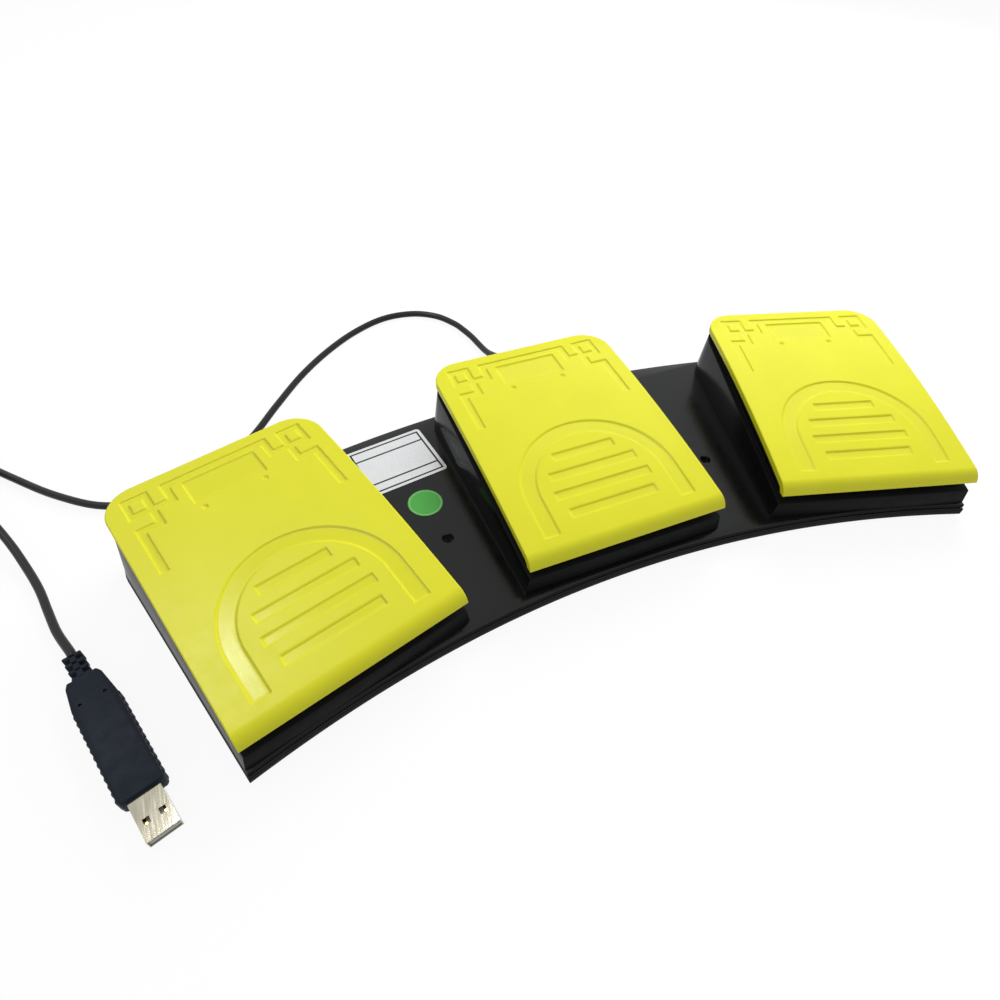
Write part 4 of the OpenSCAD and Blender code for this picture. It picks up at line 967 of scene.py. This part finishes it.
def make_box(word, side):
    """The black box that carries a tread: wall, sloped ledge, upstand, and the hinge cheeks inside."""
    shell = Shell()
    mid = ROUND_MID * BOX_EDGE
    wall = [(0, lambda v: DECK_TOP), (0, lambda v: ledge_height(v) - BOX_EDGE),
            (mid, lambda v: ledge_height(v) - mid), (BOX_EDGE, ledge_height)]
    rings = [shell.ring(leaning_ring(inset, height)) for inset, height in wall]

    def upstand_edge(v):
        """Height at which the upstand's rounded edge starts."""
        return upstand_top(v) - UPSTAND_EDGE

    def upstand_top(v):
        """Height of the upstand's top."""
        return upstand_height(v) - UPSTAND_LOW

    levels = [
        (-LEDGE_FILLET, ledge_height), (0, lambda v: ledge_height(v) + LEDGE_FILLET), (0, upstand_edge),
        (UPSTAND_EDGE, upstand_top), (UPSTAND_T - UPSTAND_EDGE, upstand_top), (UPSTAND_T, upstand_edge),
        (UPSTAND_T, lambda v: DECK_BOTTOM), (UPSTAND_T - LOCATOR_T, lambda v: DECK_BOTTOM),
        (UPSTAND_T - LOCATOR_T, lambda v: DECK_TOP)]
    for inset, height in levels:
        loop = box_loop(LEDGE_W + inset, FRONT_LEDGE_W + inset)
        rings.append(shell.ring([(u, v, height(v)) for u, v in loop]))
    shell.skin(rings + rings[:1])
    inner_front = BOX_FRONT + FRONT_WALL_T
    for s in (-1, 1):
        cheek = sorted((s * CHEEK_U, s * (CHEEK_U + CHEEK_T)))
        shell.block((cheek[0], HINGE_V - CHEEK_REACH, CHEEK_LOW),
                    (cheek[1], BOX_REAR - WALL_T + OVERLAP, CHEEK_HIGH))
        shell.block((s * CATCH_U - CATCH_W / 2, inner_front - OVERLAP, CATCH_Z),
                    (s * CATCH_U + CATCH_W / 2, inner_front + CATCH_REACH, CATCH_Z + CATCH_T))
    r = BOSS_D / 2
    for v in BOX_SCREW_V if side else ():
        shell.lathe([(0, COVER_TOP), (r, COVER_TOP), (r, BOX_BOSS_TOP), (0, BOX_BOSS_TOP)], BOSS_SIDES,
                    (side * BOX_SCREW_U, v, 0))
        rib = sorted((side * BOX_SCREW_U, side * (BOX_HALF_W - WALL_T / 2)))
        shell.block((rib[0], v - BOSS_RIB_W / 2, DECK_TOP), (rib[1], v + BOSS_RIB_W / 2, BOX_BOSS_TOP))
    shell.points = at_pedal(shell.points, side).tolist()
    piece = make_piece("box_" + word, shell, BASE_BLACK, "base", ["pedal_box_" + word])
    return matt_faces(piece, ledges=True)


# Deck and cover

FRONT_STEPS = 48
REAR_STEPS = 20
RIM_EDGE = 0.45
RIM_INNER_EDGE = 0.3
HOLE_EDGE = 0.35
POCKET_EDGE = 0.2


def base_outline(inset):
    """Plan of the base, drawn in by inset: front arc, sides, rear of each box and rear arcs between."""
    corner_r = BASE_CORNER_R - inset
    rear = FAN_R + TREAD_L - inset
    front_r = FRONT_ARC_R + inset
    rear_r = REAR_ARC_R - inset
    c, s = math.cos(FAN_TURN), math.sin(FAN_TURN)

    def outer(u, reach):
        """A point beside the right pedal's line, at a distance from the fan's centre."""
        return (u * c + reach * s, reach * c - u * s)

    corner_u = base_half(front_reach(BASE_HALF_W - inset, front_r) - FAN_R, inset)
    corner = outer(corner_u, front_reach(corner_u, front_r))
    sweep = math.degrees(math.atan2(corner[0], corner[1] + FRONT_ARC_SHIFT))
    right = arc((0, -FRONT_ARC_SHIFT), front_r, 90, 90 - sweep, FRONT_STEPS)
    middle_reach = rear - corner_r
    middle_u = base_half(middle_reach - FAN_R, inset) - corner_r / math.cos(SPREAD_TURN)
    right += [outer(*p) for p in arc((middle_u, middle_reach), corner_r, -SIDE_SPREAD, 90, CORNER_POINTS)]
    away = math.hypot(middle_u, middle_reach)
    bend = math.acos((rear_r ** 2 - away ** 2 - corner_r ** 2) / (2 * corner_r * away))
    hit = math.degrees(bend + math.atan2(middle_u, middle_reach))
    right += [outer(*p) for p in arc((-middle_u, middle_reach), corner_r, 90, 90 + hit, CORNER_POINTS)]
    end = math.degrees(math.atan2(*right[-1]))
    right += arc((0, 0), rear_r, 90 - end, 90 - (FAN_ANGLE - end), REAR_STEPS)[1:-1]
    right += arc((middle_u, middle_reach), corner_r, 90 - hit, 90, CORNER_POINTS)
    right.append((0, rear))
    loop = right + [(-x, y) for x, y in reversed(right[1:-1])]
    return [(x, y + FAN_Y) for x, y in loop]


GAP_SCREW_BACK = (26, 101)
SCREW_D = 2.6
SCREW_HEAD_D = 5.2
SCREW_HEAD_H = 1.2
SCREW_REACH = 3.6
FOOT_SEAT = 0.6
POCKET_GAP = 0.08
FOOT_PLACES = ((-1, -36, 16), (-1, -36, 112), (0, 0, 14), (0, 0, 112), (1, 36, 16), (1, 36, 112))
SLEEVE_WALL = 2


def screw_places():
    """Where the cover's screws are, in plan."""
    places = [at_gap([(0, 0, 0)], side, back)[0][:2] for side in (-1, 1) for back in GAP_SCREW_BACK]
    for side in (-1, 1):
        places += [at_pedal([(side * BOX_SCREW_U, v, 0)], side)[0][:2] for v in BOX_SCREW_V]
    return [tuple(float(x) for x in p) for p in places]


def foot_places():
    """Where the rubber feet are, in plan."""
    return [tuple(at_pedal([(u, v, 0)], side)[0][:2]) for side, u, v in FOOT_PLACES]


def bolt_places():
    """Where the mounting holes are, in plan."""
    return [(s * BOLT_PITCH / 2, BOLT_Y) for s in (-1, 1)]


def make_deck():
    """The deck: a plate with a rounded edge, openings under the boxes, two mounting holes and a skirt."""
    shell = Shell()
    high_holes, low_holes = [], []
    lap = LOCATOR_T + LOCATOR_GAP
    for side in SIDES.values():
        opening = box_loop(WALL_T - lap, FRONT_WALL_T - lap)
        rings = [shell.ring(at_pedal([(u, v, z) for u, v in opening], side)) for z in (DECK_TOP, DECK_BOTTOM)]
        shell.skin(rings)
        high_holes.append(rings[0])
        low_holes.append(rings[1])
    r = BOLT_HOLE_D / 2
    outer_r = r + SLEEVE_WALL
    for place in bolt_places():
        rings = shell.hole(place, [(r + HOLE_EDGE, DECK_TOP), (r, DECK_TOP - HOLE_EDGE), (r, DECK_BOTTOM)])
        high_holes.append(rings[0])
        low_holes.append(rings[-1])
        tube = shell.hole(place, [
            (r, COVER_TOP), (r, DECK_BOTTOM), (outer_r, DECK_BOTTOM), (outer_r, COVER_TOP)])
        shell.skin([tube[-1], tube[0]])
    mid = ROUND_MID * RIM_EDGE
    shell.slab(base_outline, [
        (DECK_INSET, DECK_BOTTOM), (DECK_INSET, DECK_TOP - RIM_EDGE), (DECK_INSET + mid, DECK_TOP - mid),
        (DECK_INSET + RIM_EDGE, DECK_TOP)], low_holes, high_holes)
    outer, inner = RIM_T + SKIRT_GAP, RIM_T + SKIRT_GAP + SKIRT_T
    skirt = ((outer, DECK_BOTTOM), (outer, COVER_TOP), (inner, COVER_TOP), (inner, DECK_BOTTOM))
    rings = [shell.ring([(x, y, z) for x, y in base_outline(inset)]) for inset, z in skirt]
    shell.skin(rings + rings[:1])
    return matt_faces(make_piece("deck", shell, BASE_BLACK, "base", ["deck_plate"]))


SPRING_V = 30
SEAT_D = 13.8
SEAT_LOW = COVER_TOP + 2
SPIGOT_D = 8.8
SPIGOT_H = 2.4
PAD_PLACES = ((-38, 13), (38, 13))
PAD_POST_D = 7
POST_SINK = 0.2
POST_SIDES = 32

# The switch brackets: left and right side, top, and the front, rear and lowest height of each block
BRACKET_U = (3.4, 5.4)
BRACKET_TOP = 15
BRACKET_BLOCKS = (
    (58.5, 65.4, COVER_TOP - POST_SINK), (69.6, 76.5, COVER_TOP - POST_SINK), (65.4, 69.6, COVER_TOP + 5))


def make_cover():
    """The cover: a shallow tray with pockets for feet and screws underneath, and posts and seats inside."""
    shell = Shell()
    low_holes, high_holes = [], []
    for place in bolt_places():
        rings = shell.hole(place, [(BOLT_HOLE_D / 2, FOOT_H), (BOLT_HOLE_D / 2, COVER_TOP)])
        low_holes.append(rings[0])
        high_holes.append(rings[1])
    pockets = ((foot_places(), FOOT_D, FOOT_SEAT), (screw_places(), SCREW_HEAD_D, SCREW_HEAD_H))
    for places, d, depth in pockets:
        r = d / 2 + POCKET_GAP
        for place in places:
            rings = shell.hole(place, [
                (r + POCKET_EDGE, FOOT_H), (r, FOOT_H + POCKET_EDGE), (r, FOOT_H + depth)])
            shell.cap(rings[-1])
            low_holes.append(rings[0])
    mid, low_mid = ROUND_MID * RIM_EDGE, 2 * ROUND_MID * RIM_EDGE
    shell.slab(base_outline, [
        (2 * RIM_EDGE, FOOT_H), (low_mid, FOOT_H + low_mid), (0, FOOT_H + 2 * RIM_EDGE),
        (0, RIM_TOP - RIM_EDGE), (mid, RIM_TOP - mid), (RIM_EDGE, RIM_TOP), (RIM_T - RIM_INNER_EDGE, RIM_TOP),
        (RIM_T, RIM_TOP - RIM_INNER_EDGE), (RIM_T, COVER_TOP)], low_holes, high_holes)
    pad_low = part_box("stop_pads")[0].z / MM
    low, spigot_top = COVER_TOP - POST_SINK, SEAT_LOW + SPIGOT_H
    seat_r, spigot_r, post_r = SEAT_D / 2, SPIGOT_D / 2, PAD_POST_D / 2
    for side in SIDES.values():
        inside = Shell()
        inside.lathe([(0, low), (seat_r, low), (seat_r, SEAT_LOW), (spigot_r, SEAT_LOW),
                      (spigot_r, spigot_top), (0, spigot_top)], at=(0, SPRING_V, 0))
        for p in PAD_PLACES:
            inside.lathe([(0, low), (post_r, low), (post_r, pad_low), (0, pad_low)], POST_SIDES, (*p, 0))
        for front, rear, foot in BRACKET_BLOCKS:
            inside.block((BRACKET_U[0], front, foot), (BRACKET_U[1], rear, BRACKET_TOP))
        shell.join(at_pedal(inside.points, side), inside.faces)
    return matt_faces(make_piece("cover", shell, BASE_BLACK, "base", ["bottom_cover"]))


SPRING_D = 11
SPRING_WIRE = 1.2
SPRING_TURNS = 6
TURN_STEPS = 24
WIRE_SIDES = 10


def make_spring(word, side):
    """A coil spring on the cover."""
    low, high = (corner.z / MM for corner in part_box("return_spring_" + word))
    wire = SPRING_WIRE / 2
    steps = SPRING_TURNS * TURN_STEPS
    shell = Shell()
    rings = []
    for k in range(steps + 1):
        a = math.tau * k / TURN_STEPS
        middle = low + wire + (high - low - SPRING_WIRE) * k / steps
        circle = round_loop((SPRING_D / 2, middle), wire, WIRE_SIDES)
        rings.append(shell.ring([(r * math.cos(a), SPRING_V + r * math.sin(a), z) for r, z in circle]))
    shell.skin(rings)
    shell.cap(rings[0])
    shell.cap(rings[-1])
    shell.points = at_pedal(shell.points, side).tolist()
    piece = make_piece("spring_" + word, shell, STEEL, "base", ["return_spring_" + word])
    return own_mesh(piece)


# What repeats: a tree that sets one piece on many points

def on_points_tree():
    """Geometry nodes that set an object on every point and give it a material."""
    tree, given, made = node_group(
        "set_on_points", "GeometryNodeTree",
        {"Points": "Geometry", "Piece": "Object", "Finish": "Material"}, {"Pieces": "Geometry"})
    values = given.outputs
    piece = add(tree, "GeometryNodeObjectInfo", {"Object": values["Piece"]})
    spread = add(tree, "GeometryNodeInstanceOnPoints", {
        "Points": values["Points"], "Instance": piece.outputs["Geometry"]})
    solid = add(tree, "GeometryNodeRealizeInstances", {0: spread.outputs[0]})
    finish = add(tree, "GeometryNodeSetMaterial", {
        "Geometry": solid.outputs[0], "Material": values["Finish"]})
    tree.links.new(finish.outputs[0], made.inputs["Pieces"])
    return tree


ON_POINTS = on_points_tree()


def repeated_mesh(name, shell, places, material):
    """One mesh of a shell set on many places, in millimetres."""
    master = bpy.data.objects.new(name + "_single", outward_mesh(name + "_single", shell))
    points = bpy.data.meshes.new(name + "_points")
    points.from_pydata((np.asarray(places) * MM).tolist(), [], [])
    carrier = bpy.data.objects.new(name + "_carrier", points)
    for helper in (master, carrier):
        scene.collection.objects.link(helper)
    modifier = carrier.modifiers.new("pieces", "NODES")
    modifier.node_group = ON_POINTS
    values = {"Piece": master, "Finish": material}
    for item in ON_POINTS.interface.items_tree:
        if item.name in values:
            modifier[item.identifier] = values[item.name]
    graph = bpy.context.evaluated_depsgraph_get()
    mesh = bpy.data.meshes.new_from_object(carrier.evaluated_get(graph))
    carrier.modifiers.remove(modifier)
    for helper in (master, carrier):
        bpy.data.objects.remove(helper)
    mesh.name = name
    return mesh


CROSS_ARM = 1.55
CROSS_W = 0.55
CROSS_DEPTH = 0.75
HEAD_EDGE = 0.3
TIP_L = 0.8
TIP_R = 0.5
SCREW_SIDES = 32


def make_screws():
    """Cover screws with a cross recess, heads down."""
    shell = Shell()
    a, w = CROSS_ARM, CROSS_W / 2
    cross = [(a, -w), (a, w), (w, w), (w, a), (-w, a), (-w, w),
             (-a, w), (-a, -w), (-w, -w), (-w, -a), (w, -a), (w, -w)]
    recess = [shell.ring([(x, y, z) for x, y in cross]) for z in (0, CROSS_DEPTH)]
    shell.skin(recess)
    shell.cap(recess[1])
    head, shank, length = SCREW_HEAD_D / 2, SCREW_D / 2, COVER_FLOOR + SCREW_REACH
    profile = [(head - HEAD_EDGE, 0), (head, HEAD_EDGE), (head, SCREW_HEAD_H), (shank, SCREW_HEAD_H),
               (shank, length - TIP_L), (TIP_R, length)]
    rings = [shell.ring([(*p, z) for p in round_loop((0, 0), r, SCREW_SIDES)]) for r, z in profile]
    shell.skin(rings)
    shell.cap(rings[0], [recess[0]])
    shell.cap(rings[-1])
    mesh = repeated_mesh("screws", shell, [(*p, FOOT_H) for p in screw_places()], STEEL)
    return dress("screws", mesh, STEEL, "base", ["cover_screws"])


# A foot's dished sole and rounded rim: distance in from its side, and height
FOOT_PROFILE = ((2.4, 0.25), (2.0, 0), (0.5, 0), (0.12, 0.15), (0, 0.5))
FOOT_SIDES = 48


def make_feet():
    """Rubber feet with a rounded rim and a shallow dished sole."""
    shell = Shell()
    r, high = FOOT_D / 2, FOOT_H + FOOT_SEAT
    sole = [(r - inset, z) for inset, z in FOOT_PROFILE]
    shell.lathe([(0, sole[0][1]), *sole, (r, high), (0, high)], FOOT_SIDES)
    mesh = repeated_mesh("feet", shell, [(*p, 0) for p in foot_places()], RUBBER)
    return dress("feet", mesh, RUBBER, "base", ["rubber_feet"])


# Strain relief, tie and plug

GLAND_INNER_EDGE = 0.4
GLAND_OUTER_EDGE = 0.5
GLAND_GAP = 0.1
GLAND_RIBS = 5
GLAND_END_SINK = 0.02

# One rib of the boot: place along it, as a part of its length, and how far it is sunk there
GLAND_RIB = ((0.08, 0.75), (0.32, 0.75), (0.4, 0.1), (0.5, 0), (0.9, 0), (1.0, 0.1))
TIE_CORNER_R = 1.2
TIE_EDGE = 0.15


def make_grommet():
    """Strain relief: flange, neck and a ribbed tapered boot."""
    shell = Shell()
    flange, neck = GLAND_FLANGE_D / 2, GLAND_NECK_D / 2
    inner_end, inner_face = -WALL_T - GLAND_FLANGE_T, -WALL_T - GLAND_GAP
    profile = [
        (0, inner_end), (flange - GLAND_INNER_EDGE, inner_end), (flange, inner_end + GLAND_INNER_EDGE),
        (flange, inner_face), (neck, inner_face), (neck, GLAND_GAP), (flange, GLAND_GAP),
        (flange, GLAND_FLANGE_T - GLAND_OUTER_EDGE), (flange - GLAND_OUTER_EDGE, GLAND_FLANGE_T)]
    for k in range(GLAND_RIBS):
        for part, sink in GLAND_RIB:
            along = (k + part) / GLAND_RIBS
            r = (GLAND_BOOT_D + (GLAND_TIP_D - GLAND_BOOT_D) * along) / 2
            profile.append((r - sink, GLAND_FLANGE_T + along * GLAND_BOOT_L))
    tip = GLAND_FLANGE_T + GLAND_BOOT_L
    profile += [(CORD_D / 2 + GLAND_GAP, tip), (0, tip - GLAND_END_SINK)]
    turn = Matrix.Rotation(-math.pi / 2, 3, "X")
    shell.lathe(profile, at=(GLAND_X, GLAND_Y, GLAND_Z), turn=turn)
    return make_piece("grommet", shell, CORD_BLACK, "base", ["cord_grommet"])


def make_tie():
    """Flat strap round one side of the coil, with rounded corners."""
    reach = CORD_D / 2 + TIE_GAP + TIE_T
    near, far = COIL_INNER_R - reach, COIL_OUTER_R + reach
    high = COIL_LOW + (COIL_LAYERS - 1) * COIL_PITCH + reach
    outline = rounded_polygon([(near, 0), (far, 0), (far, high), (near, high)], [TIE_CORNER_R] * 4)
    turn = Matrix.Rotation(math.radians(TIE_ANGLE), 3, "Z")
    half = TIE_W / 2
    section = [(0, TIE_EDGE - half), (TIE_EDGE, -half), (TIE_T - TIE_EDGE, -half), (TIE_T, TIE_EDGE - half)]
    section += [(inset, -y) for inset, y in reversed(section)]
    shell = Shell()
    rings = []
    for inset, y in section:
        loop = [turn @ Vector((r, y, z)) + Vector((*COIL_CENTRE, 0)) for r, z in outline(inset)]
        rings.append(shell.ring(loop))
    shell.skin(rings + rings[:1])
    return make_piece("tie", shell, CORD_BLACK, "base", ["coil_tie"])


def at_plug(points):
    """Points of the plug, x along it from the lead's end, y across and z up, put in place."""
    turn = Matrix.Rotation(PLUG_TURN, 3, "Z")
    return [tuple(turn @ Vector(p) + Vector((*PLUG_AT, 0))) for p in points]


RELIEF_W = 7.4
RELIEF_H = 6.2
RELIEF_RIBS = 4
RELIEF_RIB_L = 1.9
RELIEF_PITCH = 3.7
SPINE_W = 2.8
RELIEF_EDGE = 0.35
RELIEF_CORNER_R = 0.6
RELIEF_STEPS = 4


def make_relief():
    """Sleeve behind the grip: a spine with ribs across it."""
    low, high = PLUG_MID - RELIEF_H / 2, PLUG_MID + RELIEF_H / 2

    def bar(length, width):
        """A rounded bar of the sleeve's height."""
        shape = Shell()
        half = width / 2
        outline = rounded_polygon([(0, -half), (length, -half), (length, half), (0, half)],
                                  [RELIEF_CORNER_R] * 4, RELIEF_STEPS)
        shape.slab(outline, [
            (RELIEF_EDGE, low), (0, low + RELIEF_EDGE), (0, high - RELIEF_EDGE), (RELIEF_EDGE, high)])
        return shape

    places = [(k * RELIEF_PITCH, 0, 0) for k in range(RELIEF_RIBS)]
    whole, spine = Shell(), bar(RELIEF_L, SPINE_W)
    whole.join_mesh(repeated_mesh("relief", bar(RELIEF_RIB_L, RELIEF_W), places, CORD_BLACK))
    whole.join(spine.points, spine.faces)
    whole.points = at_plug(whole.points)
    return make_piece("relief", whole, GRIP_BLACK, "base", ["plug_relief"])


GRIP_END_W = 11.4
GRIP_TAPER = 13
SHOULDER_L = 2.2
SHOULDER_W = 6.85
SERRATION_R = 1.9
SERRATION_DEPTH = 0.5
SERRATION_PITCH = 3.35
SERRATIONS = 13
SERRATION_START = 15.2
PIN_DOT = (12.2, 4.7)
PIN_DOT_D = 1.5
PIN_DOT_DEPTH = 0.8
SERRATION_SIDES = 18

# Corner radii of the grip's right half, from its rear, and its rounded edges as inset and height
GRIP_RADII = (0.8, 1.6, 3, 1.6)
GRIP_LEVELS = ((1, 0), (0.3, 0.3), (0, 1), (0, GRIP_H - 0.7), (0.2, GRIP_H - 0.2), (0.7, GRIP_H))
SERRATION_LOW = 0.9
SERRATION_HIGH = GRIP_H - 1.1
SERRATION_EDGE = (0.5, 0.6)


def make_grip():
    """Grip of the plug: flat rounded body, two pin marks and serrated sides."""
    body = GRIP_W / 2 - SERRATION_DEPTH
    right = [(0, -GRIP_END_W / 2), (SHOULDER_L, -SHOULDER_W), (GRIP_TAPER, -body), (GRIP_L, -body)]
    corners = right + [(x, -y) for x, y in reversed(right)]
    outline = rounded_polygon(corners, GRIP_RADII + GRIP_RADII[::-1])
    shell = Shell()
    marks = []
    for s in (-1, 1):
        rings = shell.hole((PIN_DOT[0], s * PIN_DOT[1]), [
            (PIN_DOT_D / 2, GRIP_H), (PIN_DOT_D / 2, GRIP_H - PIN_DOT_DEPTH)])
        shell.cap(rings[1])
        marks.append(rings[0])
    shell.slab(outline, GRIP_LEVELS, (), marks)
    rib = Shell()
    r, (edge_in, edge_up) = SERRATION_R, SERRATION_EDGE
    low, high = SERRATION_LOW, SERRATION_HIGH
    rib.lathe([(0, low), (r - edge_in, low), (r, low + edge_up), (r, high - edge_up), (r - edge_in, high),
               (0, high)], SERRATION_SIDES)
    places = []
    for k in range(SERRATIONS):
        for s in (-1, 1):
            places.append((SERRATION_START + k * SERRATION_PITCH, s * (GRIP_W / 2 - SERRATION_R), 0))
    shell.join_mesh(repeated_mesh("grip", rib, places, GRIP_BLACK))
    shell.points = at_plug([(x + RELIEF_L, y, z) for x, y, z in shell.points])
    return make_piece("grip", shell, GRIP_BLACK, "base", ["plug_overmould"])


# Stage and light

FLOOR_SIZE = 8.0
FLOOR_WHITE = 0.55
FLOOR_GLOW = 1.14
FLOOR_GLOW_PART = 0.8
WORLD_LEVEL = 0.49
KEY_AT = (540, 540, 580)
KEY_SIZE = 0.6
KEY_POWER = 7.9
TOP_AT = (-315, 239, 873)
TOP_SIZE = 0.16
TOP_POWER = 3.0
LIGHT_AIM = (0, 0, 20)


def seen_directly(tree):
    """1 on rays that show the background as it is: from the camera, and mirrored or through glass."""
    path = add(tree, "ShaderNodeLightPath").outputs
    first = figure(tree, "MAXIMUM", path["Is Camera Ray"], path["Is Glossy Ray"])
    return figure(tree, "MAXIMUM", first, path["Is Transmission Ray"])


def add_floor():
    """A plain pale floor that shows white and keeps a soft shadow."""
    half = FLOOR_SIZE / 2
    mesh = bpy.data.meshes.new("floor")
    corners = [(-half, -half, 0), (half, -half, 0), (half, half, 0), (-half, half, 0)]
    mesh.from_pydata(corners, [], [(0, 1, 2, 3)])
    material = bpy.data.materials.new("pale_floor")
    material.use_nodes = True
    tree = material.node_tree
    tree.nodes.remove(tree.nodes["Principled BSDF"])
    diffuse = add(tree, "ShaderNodeBsdfDiffuse", {"Color": (FLOOR_WHITE, FLOOR_WHITE, FLOOR_WHITE, 1.0)})
    glow = add(tree, "ShaderNodeEmission", {"Strength": FLOOR_GLOW})
    part = figure(tree, "MULTIPLY", seen_directly(tree), FLOOR_GLOW_PART)
    mixed = add(tree, "ShaderNodeMixShader", {0: part, 1: diffuse.outputs[0], 2: glow.outputs[0]})
    tree.links.new(mixed.outputs[0], tree.nodes["Material Output"].inputs["Surface"])
    mesh.materials.append(material)
    floor = bpy.data.objects.new("floor", mesh)
    scene.collection.objects.link(floor)


def add_light():
    """White surroundings, a large soft lamp behind, and a small one overhead that only glints."""
    world = bpy.data.worlds.new("studio")
    scene.world = world
    world.use_nodes = True
    tree = world.node_tree
    level = ramp(tree, seen_directly(tree), 0.0, 1.0, WORLD_LEVEL, 1.0)
    tree.links.new(level, tree.nodes["Background"].inputs["Strength"])
    tree.nodes["Background"].inputs["Color"].default_value = (1.0, 1.0, 1.0, 1.0)
    for name, at, size, power in (("key", KEY_AT, KEY_SIZE, KEY_POWER), ("top", TOP_AT, TOP_SIZE, TOP_POWER)):
        lamp = bpy.data.lights.new(name, "AREA")
        lamp.size = size
        lamp.energy = power
        holder = bpy.data.objects.new(name, lamp)
        holder.location = Vector(at) * MM
        aim = Vector(LIGHT_AIM) * MM - holder.location
        holder.rotation_euler = aim.to_track_quat("-Z", "Y").to_euler()
        holder.visible_glossy = name == "top"
        holder.visible_diffuse = name == "key"
        scene.collection.objects.link(holder)
    scene.view_settings.view_transform = "Standard"


# Making of all pieces

add_camera()
cord, cord_start, cord_length = make_cord()
add_floor()
add_light()
for word, side in SIDES.items():
    make_tread(word, side)
    make_box(word, side)
    make_spring(word, side)
make_deck()
make_cover()
make_screws()
make_feet()
cord_pieces = [make_grommet(), make_tie(), make_relief(), make_grip()]

FINISHES = {
    "pedal_frame_": INNER_BLACK, "hinge_pin_": STEEL, "switch_body_": MAROON,
    "switch_lever_": STEEL, "switch_button_": RED, "stop_pads": RUBBER, "circuit_board": GREEN,
    "board_screws": STEEL, "wiring": GREY, "plug_shell": NICKEL, "plug_tongue": WHITE, "plug_contacts": GOLD,
    "spec_label": FOIL, "round_sticker": STICKER}
for name, node in nodes.items():
    for start, material in FINISHES.items():
        if name.startswith(start):
            node.data.materials.clear()
            node.data.materials.append(material)

cord_pieces += [nodes[name] for name in ("plug_shell", "plug_tongue", "plug_contacts")]
